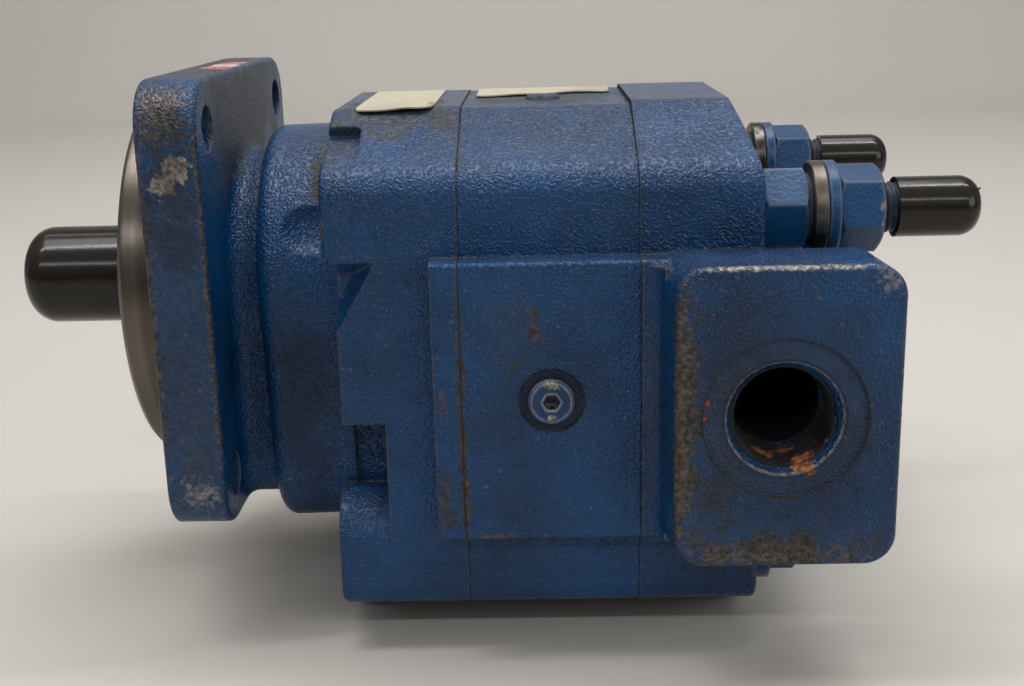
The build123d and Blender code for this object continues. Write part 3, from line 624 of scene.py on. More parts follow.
@dataclass(frozen=True)
class CastPaint(Finish):
    """Blue enamel sprayed on rough cast iron, with its dirt, wear and painted shade.

    Marks, seams and the bare stretch are in millimetres; depths and the edge radius are in metres.
    """

    name: str
    marks: tuple[Union[Mark, Ring], ...] = ()
    seams: tuple[float, ...] = ()
    bare_left_of: Optional[float] = None
    deep: Colour = (0.0010, 0.0215, 0.069)
    pale: Colour = (0.0020, 0.0450, 0.141)
    gloss: float = 0.17
    gloss_spread: float = 0.08
    grain_depth: float = 0.00075
    fine: float = 1050.0
    edge_radius: float = 0.0017
    wear: float = 0.3
    worn: Colour = (0.050, 0.040, 0.033)
    worn_share: float = 0.7
    worn_roughness: float = 0.5
    bare_dull: Colour = (0.075, 0.064, 0.054)
    bare_pale: Colour = (0.15, 0.130, 0.110)
    bare_roughness: float = 0.27
    bare_metal: float = 0.85
    bare_relief: float = 0.25
    bare_pitch: float = 1500.0
    bare_fade: float = 0.3
    dust: float = 0.10
    dust_colour: Colour = (0.15, 0.165, 0.17)
    dust_roughness: float = 0.6
    speck_grain: float = 430.0
    speck_share: float = 0.04
    speck_strength: float = 0.5
    speck_colour: Colour = (0.10, 0.085, 0.06)
    stain_and_shade_grain: float = 650.0
    stain_and_shade_tones: tuple[float, float] = (0.35, 1.5)
    sheen_level: float = 0.32

    def stained_and_shaded(
        self, w: Wiring, effects: Effects, colour: Feed, roughness: Feed
    ) -> tuple[Feed, Feed, Feed]:
        """Lay the marks, painted shade among them, over the paint, one kind after another.

        Args:
            w: the material's wiring.
            effects: the shared groups.
            colour: the paint's colour.
            roughness: the paint's roughness.

        Returns:
            Colour, roughness and metal after all marks.
        """
        metal: Feed = 0.0
        broken = w.step(w.noise(self.stain_and_shade_grain, w.place(), 4.0, 0.65), 0.34, 0.66)
        for kind, look in STAIN_AND_SHADE_LOOKS.items():
            masks = [mark.mask(w, effects) for mark in self.marks if mark.stain is kind]
            # The joint seams are real dark joints, laid in with the painted-shade marks and their near-black
            # colour.
            if kind is StainOrShade.SHADE:
                seams = [w.group(effects.seam, Station=station * MM) for station in self.seams]
                masks += [seam.outputs["Mask"] for seam in seams]
            if not masks:
                continue
            total = masks[0]
            for mask in masks[1:]:
                total = w.math("MAXIMUM", total, mask)
            tones = [tuple(share * v for v in look.colour) for share in self.stain_and_shade_tones]
            colour = w.blend(total, colour, w.blend(broken, *tones))
            roughness = w.between(total, roughness, look.roughness)
            metal = w.between(total, metal, look.metal)
        return colour, roughness, metal

    def material(self, effects: Effects) -> bpy.types.Material:
        """Build the finish.

        Args:
            effects: the shared groups.

        Returns:
            The material.
        """
        material, w, shader = self.begin()
        grain = w.group(effects.grain, Fine=self.fine)
        edge = w.group(effects.edge, Radius=self.edge_radius, Amount=self.wear)
        mottle = w.step(grain.outputs["Mottle"], 0.3, 0.7)
        colour: Feed = w.blend(mottle, self.deep, self.pale)
        rough: Feed = w.between(mottle, self.gloss, self.gloss + self.gloss_spread)
        dust = w.group(effects.settled, Amount=self.dust).outputs["Mask"]
        colour = w.blend(dust, colour, self.dust_colour)
        rough = w.between(dust, rough, self.dust_roughness)
        worn = edge.outputs["Mask"]
        colour = w.blend(w.math("MULTIPLY", worn, self.worn_share), colour, self.worn)
        rough = w.between(worn, rough, self.worn_roughness)
        colour, rough, metal = self.stained_and_shaded(w, effects, colour, rough)
        specks = w.group(effects.specks, Grain=self.speck_grain, Share=self.speck_share).outputs["Mask"]
        colour = w.blend(w.math("MULTIPLY", specks, self.speck_strength), colour, self.speck_colour)
        height: Feed = grain.outputs["Height"]
        if self.bare_left_of is not None:
            full = self.bare_left_of - self.bare_fade
            bare = w.step(w.split(w.place())[0], self.bare_left_of * MM, full * MM)
            lines = w.group(effects.turned, Pitch=self.bare_pitch)
            tone = w.blend(w.step(lines.outputs["Tone"], 0.3, 0.7), self.bare_dull, self.bare_pale)
            colour = w.blend(bare, colour, tone)
            rough = w.between(bare, rough, self.bare_roughness)
            metal = w.between(bare, metal, self.bare_metal)
            cut = w.math("MULTIPLY", lines.outputs["Height"], self.bare_relief)
            height = w.between(bare, height, cut)
        normal = w.relief(height, self.grain_depth, edge.outputs["Normal"])
        feeds = {"Base Color": colour, "Roughness": rough, "Metallic": metal, "Normal": normal}
        w.feed_all(shader, {"Specular IOR Level": self.sheen_level, **feeds})
        return material


@dataclass(frozen=True)
class Steel(Finish):
    """Bare machined steel with tool lines, oil film and a little rust."""

    name: str
    pale: Colour = (0.36, 0.35, 0.34)
    dull: Colour = (0.12, 0.115, 0.11)
    roughness: float = 0.28
    centre: Point = (0.0, 0.0, 0.0)
    pitch: float = 2200.0
    depth: float = 0.00004
    rust: float = 0.08
    rust_grain: float = 420.0
    rust_cloud: float = 3.0
    rust_colour: Colour = (0.16, 0.075, 0.035)
    rust_strength: float = 0.7
    rust_roughness: float = 0.7
    fine: float = 1800.0
    edge_radius: float = 0.0004
    edge_wear: float = 0.6
    edge_colour: Colour = (0.55, 0.54, 0.52)
    edge_strength: float = 0.6

    def material(self, effects: Effects) -> bpy.types.Material:
        """Build the finish.

        Args:
            effects: the shared groups.

        Returns:
            The material.
        """
        material, w, shader = self.begin()
        lines = w.group(effects.turned, Centre=in_metres(self.centre), Pitch=self.pitch)
        grain = w.group(effects.grain, Fine=self.fine)
        edge = w.group(effects.edge, Radius=self.edge_radius, Amount=self.edge_wear)
        colour: Feed = w.blend(w.step(lines.outputs["Tone"], 0.32, 0.68), self.dull, self.pale)
        specks = w.group(effects.specks, Grain=self.rust_grain, Share=self.rust).outputs["Mask"]
        cloud = w.step(grain.outputs["Mottle"], 0.55, 0.75)
        tinge = w.math("MULTIPLY", cloud, self.rust * self.rust_cloud)
        rusty = w.math("MULTIPLY", w.math("MAXIMUM", specks, tinge), self.rust_strength)
        colour = w.blend(rusty, colour, self.rust_colour)
        rubbed = w.math("MULTIPLY", edge.outputs["Mask"], self.edge_strength)
        feeds = {
            "Base Color": w.blend(rubbed, colour, self.edge_colour),
            "Roughness": w.between(rusty, self.roughness, self.rust_roughness),
            "Metallic": w.math("SUBTRACT", 1.0, rusty),
            "Normal": w.relief(lines.outputs["Height"], self.depth, edge.outputs["Normal"]),
        }
        w.feed_all(shader, feeds)
        return material


@dataclass(frozen=True)
class Moulded(Finish):
    """Moulded plastic or rubber with scuffs and faint dust."""

    name: str
    colour: Colour = (0.011, 0.0088, 0.0072)
    scuff: Colour = (0.035, 0.029, 0.024)
    roughness: float = 0.17
    roughness_spread: float = 0.15
    sheen_level: float = 0.3
    fine: float = 1500.0
    coarse: float = 120.0
    grain_share: float = 0.12
    scratch_pitch: float = 420.0
    depth: float = 0.00006
    dust: float = 0.03
    dust_grain: float = 200.0
    dust_colour: Colour = (0.14, 0.13, 0.11)

    def material(self, effects: Effects) -> bpy.types.Material:
        """Build the finish.

        Args:
            effects: the shared groups.

        Returns:
            The material.
        """
        material, w, shader = self.begin()
        grain = w.group(
            effects.grain, Fine=self.fine, Coarse=self.coarse, Roughness=self.grain_share
        )
        scratches = w.group(effects.turned, Pitch=self.scratch_pitch)
        scuffed = w.step(scratches.outputs["Height"], 0.55, 0.8)
        scuffed = w.math("MULTIPLY", scuffed, w.step(grain.outputs["Mottle"], 0.4, 0.7))
        colour: Feed = w.blend(scuffed, self.colour, self.scuff)
        dust = w.group(effects.settled, Amount=self.dust, Grain=self.dust_grain).outputs["Mask"]
        feeds = {
            "Base Color": w.blend(dust, colour, self.dust_colour),
            "Specular IOR Level": self.sheen_level,
            "Roughness": w.between(scuffed, self.roughness, self.roughness + self.roughness_spread),
            "Normal": w.relief(grain.outputs["Height"], self.depth),
        }
        w.feed_all(shader, feeds)
        return material


@dataclass(frozen=True)
class Paper(Finish):
    """Coated label stock, yellowed, with smears and dirty edges."""

    name: str
    colour: Colour = (0.44, 0.40, 0.30)
    smear: Colour = (0.28, 0.25, 0.19)
    fine: float = 2600.0
    coarse: float = 500.0
    speck_grain: float = 380.0
    speck_share: float = 0.08
    speck_colour: Colour = (0.20, 0.17, 0.12)
    speck_strength: float = 0.6
    depth: float = 0.00005
    marks: tuple[Mark, ...] = ()

    def material(self, effects: Effects) -> bpy.types.Material:
        """Build the finish.

        Args:
            effects: the shared groups.

        Returns:
            The material.
        """
        material, w, shader = self.begin()
        grain = w.group(effects.grain, Fine=self.fine, Coarse=self.coarse)
        colour: Feed = w.blend(w.step(grain.outputs["Mottle"], 0.45, 0.8), self.colour, self.smear)
        specks = w.group(effects.specks, Grain=self.speck_grain, Share=self.speck_share).outputs["Mask"]
        colour = w.blend(w.math("MULTIPLY", specks, self.speck_strength), colour, self.speck_colour)
        for mark in self.marks:
            colour = w.blend(mark.mask(w, effects), colour, STAIN_AND_SHADE_LOOKS[mark.stain].colour)
        feeds = {
            "Base Color": colour,
            "Roughness": w.between(grain.outputs["Mottle"], 0.38, 0.6),
            "Normal": w.relief(grain.outputs["Height"], self.depth),
        }
        w.feed_all(shader, feeds)
        return material


@dataclass(frozen=True)
class FloorFinish(Finish):
    """Plain pale floor with a faint cloudiness."""

    name: str = "pale_floor"
    colour: Colour = (0.54, 0.515, 0.475)
    cloud: Colour = (0.50, 0.475, 0.44)

    def material(self, effects: Effects) -> bpy.types.Material:
        """Build the finish.

        Args:
            effects: the shared groups.

        Returns:
            The material.
        """
        material, w, shader = self.begin()
        place = w.place()
        feeds = {
            "Base Color": w.blend(w.noise(3.0, place, 4.0), self.colour, self.cloud),
            "Roughness": w.between(w.noise(40.0, place, 3.0), 0.45, 0.6),
        }
        w.feed_all(shader, feeds)
        return material


# ------------------------------------------------------------------ modelling
class Bench:
    """Edit-mode modelling on one object at a time, in metres."""

    @staticmethod
    def clear() -> None:
        """Deselect everything, in object mode."""
        if bpy.context.object is not None and bpy.context.object.mode != "OBJECT":
            bpy.ops.object.mode_set(mode="OBJECT")
        bpy.ops.object.select_all(action="DESELECT")

    @staticmethod
    def only(piece: bpy.types.Object) -> None:
        """Select one object alone and make it the active one.

        Args:
            piece: the object.
        """
        Bench.clear()
        piece.select_set(True)
        bpy.context.view_layer.objects.active = piece

    @staticmethod
    def edit_all() -> None:
        """Open the active mesh for editing, with everything selected."""
        bpy.ops.object.mode_set(mode="EDIT")
        bpy.ops.mesh.select_all(action="SELECT")

    @staticmethod
    def leave() -> None:
        """Go back to object mode."""
        bpy.ops.object.mode_set(mode="OBJECT")

    @staticmethod
    def slice(place: Sequence[float], way: Sequence[float], keep_ahead: bool, fill: bool) -> None:
        """Cut what is selected with a plane and keep one side.

        Args:
            place: a place on the plane.
            way: the plane's normal.
            keep_ahead: keep the side that the normal points to, not the other one.
            fill: close the cut with a face.
        """
        bpy.ops.mesh.bisect(
            plane_co=place,
            plane_no=way,
            use_fill=fill,
            clear_inner=keep_ahead,
            clear_outer=not keep_ahead,
        )
        Bench.leave()

    @staticmethod
    def pull(way: Sequence[float], reach: float) -> None:
        """Move what is selected and draw its surroundings along softly.

        Args:
            way: the move, in metres.
            reach: how far the surroundings follow, in metres.
        """
        bpy.ops.transform.translate(
            value=way,
            use_proportional_edit=True,
            proportional_size=reach,
            proportional_edit_falloff="SMOOTH",
        )

    @staticmethod
    def take(name: str) -> bpy.types.Object:
        """Name the primitive just added.

        Args:
            name: the piece's name.

        Returns:
            The piece.
        """
        piece = bpy.context.object
        piece.name = name
        piece.data.name = name
        return piece

    @staticmethod
    def settle(piece: bpy.types.Object) -> bpy.types.Object:
        """Move the object's place into its mesh.

        Args:
            piece: the object.

        Returns:
            The same object, at the origin.
        """
        Bench.only(piece)
        bpy.ops.object.transform_apply(location=True, rotation=True, scale=True)
        return piece

    @staticmethod
    def pick(piece: bpy.types.Object, kind: Pick, test: Callable[[Vector, Vector], bool]) -> int:
        """Select parts of the mesh by place and normal, and stay in edit mode.

        Args:
            piece: the object being edited.
            kind: vertices, edges or faces.
            test: takes a place and a normal, or an edge's direction, and says whether it is wanted.

        Returns:
            How many were selected.
        """
        bpy.context.view_layer.objects.active = piece
        bpy.ops.object.mode_set(mode="EDIT")
        bpy.ops.mesh.select_mode(type=kind.value)
        bpy.ops.mesh.select_all(action="DESELECT")
        bpy.ops.object.mode_set(mode="OBJECT")
        mesh = piece.data
        count = 0
        if kind is Pick.FACES:
            items: Iterable = [(p, p.center, p.normal) for p in mesh.polygons]
        elif kind is Pick.EDGES:
            ends = [(e, *(mesh.vertices[k].co for k in e.vertices)) for e in mesh.edges]
            items = [(e, (a + b) / 2, (b - a).normalized()) for e, a, b in ends]
        else:
            items = [(v, v.co, v.normal) for v in mesh.vertices]
        for item, centre, normal in items:
            item.select = bool(test(centre, normal))
            count += item.select
        bpy.ops.object.mode_set(mode="EDIT")
        return count

    @staticmethod
    def modify(piece: bpy.types.Object, kind: str, **settings: object) -> None:
        """Add a modifier and apply it.

        Args:
            piece: the object.
            kind: the modifier's type.
            settings: its properties.
        """
        Bench.only(piece)
        modifier = piece.modifiers.new(kind.lower(), kind)
        for name, value in settings.items():
            setattr(modifier, name, value)
        bpy.ops.object.modifier_apply(modifier=modifier.name)

    @staticmethod
    def tidy(piece: bpy.types.Object, smooth: float = 35.0, merge: float = 1e-6) -> bpy.types.Object:
        """Merge doubles, turn all faces outwards and smooth by angle.

        Args:
            piece: the object.
            smooth: largest angle that is shaded smooth, in degrees.
            merge: distance at which vertices are merged, in metres.

        Returns:
            The same object.
        """
        bpy.context.view_layer.objects.active = piece
        Bench.edit_all()
        bpy.ops.mesh.remove_doubles(threshold=merge)
        bpy.ops.mesh.normals_make_consistent(inside=False)
        Bench.only(piece)
        bpy.ops.object.shade_smooth_by_angle(angle=math.radians(smooth))
        return piece

    @staticmethod
    def twin(piece: bpy.types.Object, name: str, shift: Vector) -> bpy.types.Object:
        """Copy a piece with its own mesh and move the copy.

        Args:
            piece: the original.
            name: the copy's name.
            shift: the way it moves, in metres.

        Returns:
            The copy, its place in its mesh.
        """
        Bench.only(piece)
        bpy.ops.object.duplicate(linked=False)
        copy = Bench.take(name)
        copy.location = shift
        return Bench.settle(copy)

    @staticmethod
    def join(pieces: Sequence[bpy.types.Object], name: str) -> bpy.types.Object:
        """Join several meshes in one piece.

        Args:
            pieces: the meshes; the first keeps its place.
            name: the joined piece's name.

        Returns:
            The joined piece.
        """
        Bench.clear()
        for piece in pieces:
            piece.select_set(True)
        bpy.context.view_layer.objects.active = pieces[0]
        bpy.ops.object.join()
        return Bench.take(name)

    @staticmethod
    def dress(piece: bpy.types.Object, material: bpy.types.Material) -> None:
        """Give a piece its only material."""
        piece.data.materials.clear()
        piece.data.materials.append(material)


@dataclass
class SubAssembly:
    """Common parts of the pump's sub-assemblies."""

    effects: Effects

    def skin(self, nodes: Sequence[str], finish: Finish) -> None:
        """Give CAD nodes a finish.

        Args:
            nodes: the nodes' names.
            finish: what they are finished with.
        """
        material = finish.material(self.effects)
        for node in nodes:
            Bench.dress(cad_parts[node], material)
            LOG.info("%s: %s", node, material.name)

    def hand_over(
        self,
        piece: bpy.types.Object,
        finish: Finish,
        body: Body,
        slot: Slot,
        stands_for: Sequence[str] = (),
    ) -> None:
        """Finish a new piece and tie it to its body.

        Args:
            piece: the new piece.
            finish: its finish.
            body: the body it rides on.
            slot: its material slot in the record; not used.
            stands_for: CAD nodes that it replaces.
        """
        Bench.dress(piece, finish.material(self.effects))
        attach(piece, body.value)
        if stands_for:
            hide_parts(*stands_for)
        LOG.info("%s: %d faces on %s", piece.name, len(piece.data.polygons), body.value)


# ------------------------------------------------------------------ pump sub-assemblies
@dataclass
class ShaftEndCover(SubAssembly):
    """Front casting with flange, pilot and neck; torn paper on the flange is part of its finish."""

    def paint(self) -> CastPaint:
        """Gather the casting's finish and its marks.

        Returns:
            The finish.
        """
        return CastPaint(
            "cover_enamel",
            bare_left_of=-0.35,
            wear=0.5,
            worn=(0.11, 0.10, 0.085),
            seams=(97.0,),
            marks=(
                Mark(StainOrShade.TORN, (12.5, -73.0, 47.0), (4.0, 2.5, 4.5), 0.95, 0.7, 300.0, 0.15),
                Mark(StainOrShade.TORN, (8.0, -73.0, 42.0), (4.0, 2.5, 3.5), 0.85, 0.85, 330.0, 0.3),
                Mark(StainOrShade.TORN, (11.0, -73.0, -59.0), (7.0, 2.5, 6.0), 0.5, 0.95, 420.0, 0.7),
                Mark(StainOrShade.IRON, (8.0, -70.0, 63.0), (11.0, 7.0, 12.0), 0.85, 0.6, 520.0, 0.6),
                Mark(StainOrShade.IRON, (0.6, -73.0, 5.0), (1.8, 3.0, 66.0), 0.75, 0.9, 500.0, 0.6),
                Mark(StainOrShade.IRON, (18.6, -73.0, 5.0), (1.3, 3.0, 66.0), 0.8, 0.9, 520.0, 0.6),
                Mark(StainOrShade.IRON, (9.5, 73.0, 10.0), (11.0, 1.5, 60.0), 0.4, 0.9, 420.0, 0.6),
                Mark(StainOrShade.SHADE, (10.0, -73.0, 40.0), (11.0, 4.0, 34.0), 0.55, 0.6, 90.0, 0.9),
                Mark(StainOrShade.FILM, (19.0, 0.0, 55.0), (3.0, 75.0, 28.0), 0.75, 0.4, 70.0, 0.6),
                Mark(StainOrShade.FILM, (9.0, -73.0, 0.0), (12.0, 2.5, 74.0), 0.35, 0.4, 120.0, 0.6),
                Mark(StainOrShade.GRIME, (10.0, -73.0, -50.0), (10.0, 4.0, 22.0), 0.5, 0.5, 90.0, 0.9),
                Mark(StainOrShade.FILM, (8.0, 0.0, 73.0), (14.0, 75.0, 9.0), 0.75, 0.3, 120.0, 0.5),
                Mark(StainOrShade.GRIME, (51.0, -37.0, 40.0), (5.0, 15.0, 12.0), 0.95, 0.6, 160.0, 0.5, True),
                Mark(StainOrShade.GRIME, (42.0, -58.0, 33.0), (7.0, 12.0, 9.0), 0.45, 0.6, 200.0, 0.8, True),
                # Painted shade over the neck, recessed between the flange and the cover body.
                Mark(StainOrShade.SHADE, (42.0, -52.0, -36.0), (15.0, 12.0, 52.0), 0.5, 0.5, 60.0, 0.9),
                Mark(StainOrShade.PAPER, (11.5, 6.5, 73.0), (5.0, 20.0, 1.2), 0.9, 0.5, 200.0, 0.15),
                Mark(StainOrShade.RED, (12.0, 19.0, 73.0), (4.5, 6.0, 1.2), 0.75, 0.7, 260.0, 0.3),
                Mark(StainOrShade.RED, (11.0, -7.0, 73.0), (5.0, 7.0, 1.2), 0.8, 0.8, 260.0, 0.3),
                Mark(StainOrShade.FILM, (74.0, -24.0, 58.0), (21.0, 30.0, 9.0), 0.9, 0.4, 60.0, 0.35),
                Mark(StainOrShade.GRIME, (60.0, -54.0, 52.0), (8.0, 12.0, 7.0), 0.6, 0.6, 260.0, 0.6, True),
                Mark(StainOrShade.GRIME, (91.0, -42.0, 57.0), (5.0, 10.0, 5.0), 0.75, 0.8, 220.0, 0.5),
                Mark(StainOrShade.GRIME, (97.0, -84.0, -36.0), (1.6, 2.5, 42.0), 0.9, 0.8, 330.0, 0.5, True),
                Mark(StainOrShade.RUST, (97.0, -84.0, -57.0), (0.7, 2.5, 13.0), 0.6, 0.9, 420.0, 0.5),
                Mark(StainOrShade.GRIME, (91.0, -84.0, -58.0), (4.0, 2.5, 13.0), 0.7, 0.8, 260.0, 0.7),
                Mark(StainOrShade.RUST, (91.0, -84.0, -25.0), (1.0, 2.5, 4.0), 0.45, 0.9, 360.0, 0.5),
                Mark(StainOrShade.GRIME, (76.0, -60.0, -112.0), (24.0, 40.0, 11.0), 0.75, 0.55, 120.0, 0.8, True),
                Mark(StainOrShade.IRON, (76.0, -62.0, -103.0), (22.0, 8.0, 3.0), 0.35, 0.9, 330.0, 0.7, True),
                Mark(StainOrShade.RUST, (55.4, -75.0, 27.5), (1.0, 3.0, 3.0), 0.7, 0.7, 520.0, 0.4),
                # Painted shade low on the cover's sides, beside the neck, on both sides.
                Mark(StainOrShade.SHADE, (62.0, -68.0, -52.0), (9.0, 8.0, 17.0), 0.35, 0.3, 200.0, 0.8, True),
            ),
        )

    def build(self) -> None:
        """Dress the casting."""
        self.skin(["shaft_end_cover"], self.paint())


@dataclass
class GearHousing(SubAssembly):
    """Middle casting with its gauge plug, gears, bearings and seals."""

    def paint(self) -> CastPaint:
        """Gather the casting's finish and its marks.

        Returns:
            The finish.
        """
        return CastPaint(
            "housing_enamel",
            seams=(97.0, 152.4),
            wear=0.32,
            marks=(
                Mark(StainOrShade.GRIME, (119.5, -84.0, -2.0), (3.2, 2.5, 7.0), 0.75, 0.9, 240.0, 0.6),
                Mark(StainOrShade.RUST, (120.0, -84.0, -3.0), (1.6, 2.5, 4.0), 0.35, 0.9, 420.0, 0.5),
                Mark(StainOrShade.GRIME, (114.0, -84.0, -14.0), (3.5, 2.5, 2.5), 0.6, 0.9, 300.0, 0.6),
                Mark(StainOrShade.GRIME, (112.0, -84.0, -2.0), (9.0, 2.5, 14.0), 0.28, 0.8, 220.0, 0.8),
                Mark(StainOrShade.GRIME, (97.0, -84.0, -36.0), (1.9, 2.5, 42.0), 0.85, 0.8, 330.0, 0.5, True),
                Mark(StainOrShade.RUST, (97.4, -84.0, -57.0), (0.9, 2.5, 13.0), 0.7, 0.9, 420.0, 0.5),
                Mark(StainOrShade.GRIME, (124.7, -83.0, -71.6), (28.0, 3.0, 1.2), 0.9, 0.5, 420.0, 0.6, True),
                Mark(StainOrShade.IRON, (106.0, -84.0, -70.2), (9.0, 2.5, 1.2), 0.6, 0.9, 420.0, 0.6),
                Mark(StainOrShade.GRIME, (124.7, -60.0, -112.0), (29.0, 40.0, 10.0), 0.7, 0.55, 120.0, 0.8, True),
                Mark(StainOrShade.IRON, (146.0, -68.0, -102.0), (6.0, 8.0, 3.0), 0.45, 0.9, 330.0, 0.7),
                Mark(StainOrShade.FILM, (124.7, 0.0, 61.0), (30.0, 38.0, 2.5), 0.75, 0.5, 70.0, 0.5),
                # Painted shade in the recessed spotface round the gauge plug.
                Mark(StainOrShade.SHADE, (124.7, -82.3, -25.4), (10.4, 1.5, 10.4), 0.75, 0.02, 300.0, 0.05),
                Mark(StainOrShade.GRIME, (97.0, -62.0, 50.0), (1.6, 20.0, 9.0), 0.6, 0.8, 330.0, 0.6, True),
            ),
        )

    def build(self) -> None:
        """Dress the housing and all that is in it."""
        self.skin(["gear_housing"], self.paint())
        plug = CastPaint(
            "plug_enamel",
            wear=1.6,
            worn=(0.36, 0.34, 0.32),
            grain_depth=0.00008,
            fine=1600.0,
            gloss=0.2,
            dust=0.1,
            marks=(
                Mark(StainOrShade.TORN, (124.7, -85.8, -20.0), (2.2, 1.5, 1.3), 0.8, 0.6, 900.0, 0.4),
                Mark(StainOrShade.TORN, (124.9, -85.8, -30.2), (1.6, 1.5, 0.8), 0.8, 0.6, 900.0, 0.4),
            ),
        )
        self.skin(["gauge_port_plug"], plug)
        gear = Steel(
            "ground_gear_steel", pale=(0.50, 0.49, 0.47), dull=(0.26, 0.25, 0.24), roughness=0.26, rust=0.01
        )
        self.skin(["drive_gear_shaft", "driven_gear_shaft"], gear)
        bronze = Steel(
            "bearing_bronze", pale=(0.62, 0.38, 0.16), dull=(0.34, 0.19, 0.08), roughness=0.34, rust=0.0
        )
        ends = ("front", "rear")
        bushings = [f"{shaft}_{end}_bushing" for shaft in ("drive", "driven") for end in ends]
        self.skin(bushings + [f"{end}_thrust_plate" for end in ends], bronze)
        rubber = Moulded(
            "seal_rubber", colour=(0.016, 0.016, 0.017), scuff=(0.04, 0.04, 0.04), roughness=0.5
        )
        self.skin(["front_section_seal", "rear_section_seal", "shaft_lip_seal", "gauge_plug_o_ring"], rubber)
        pins = Steel("hardened_pins", pale=(0.36, 0.36, 0.37), dull=(0.14, 0.14, 0.15), rust=0.03)
        self.skin(["dowel_pins", "seal_snap_ring"], pins)


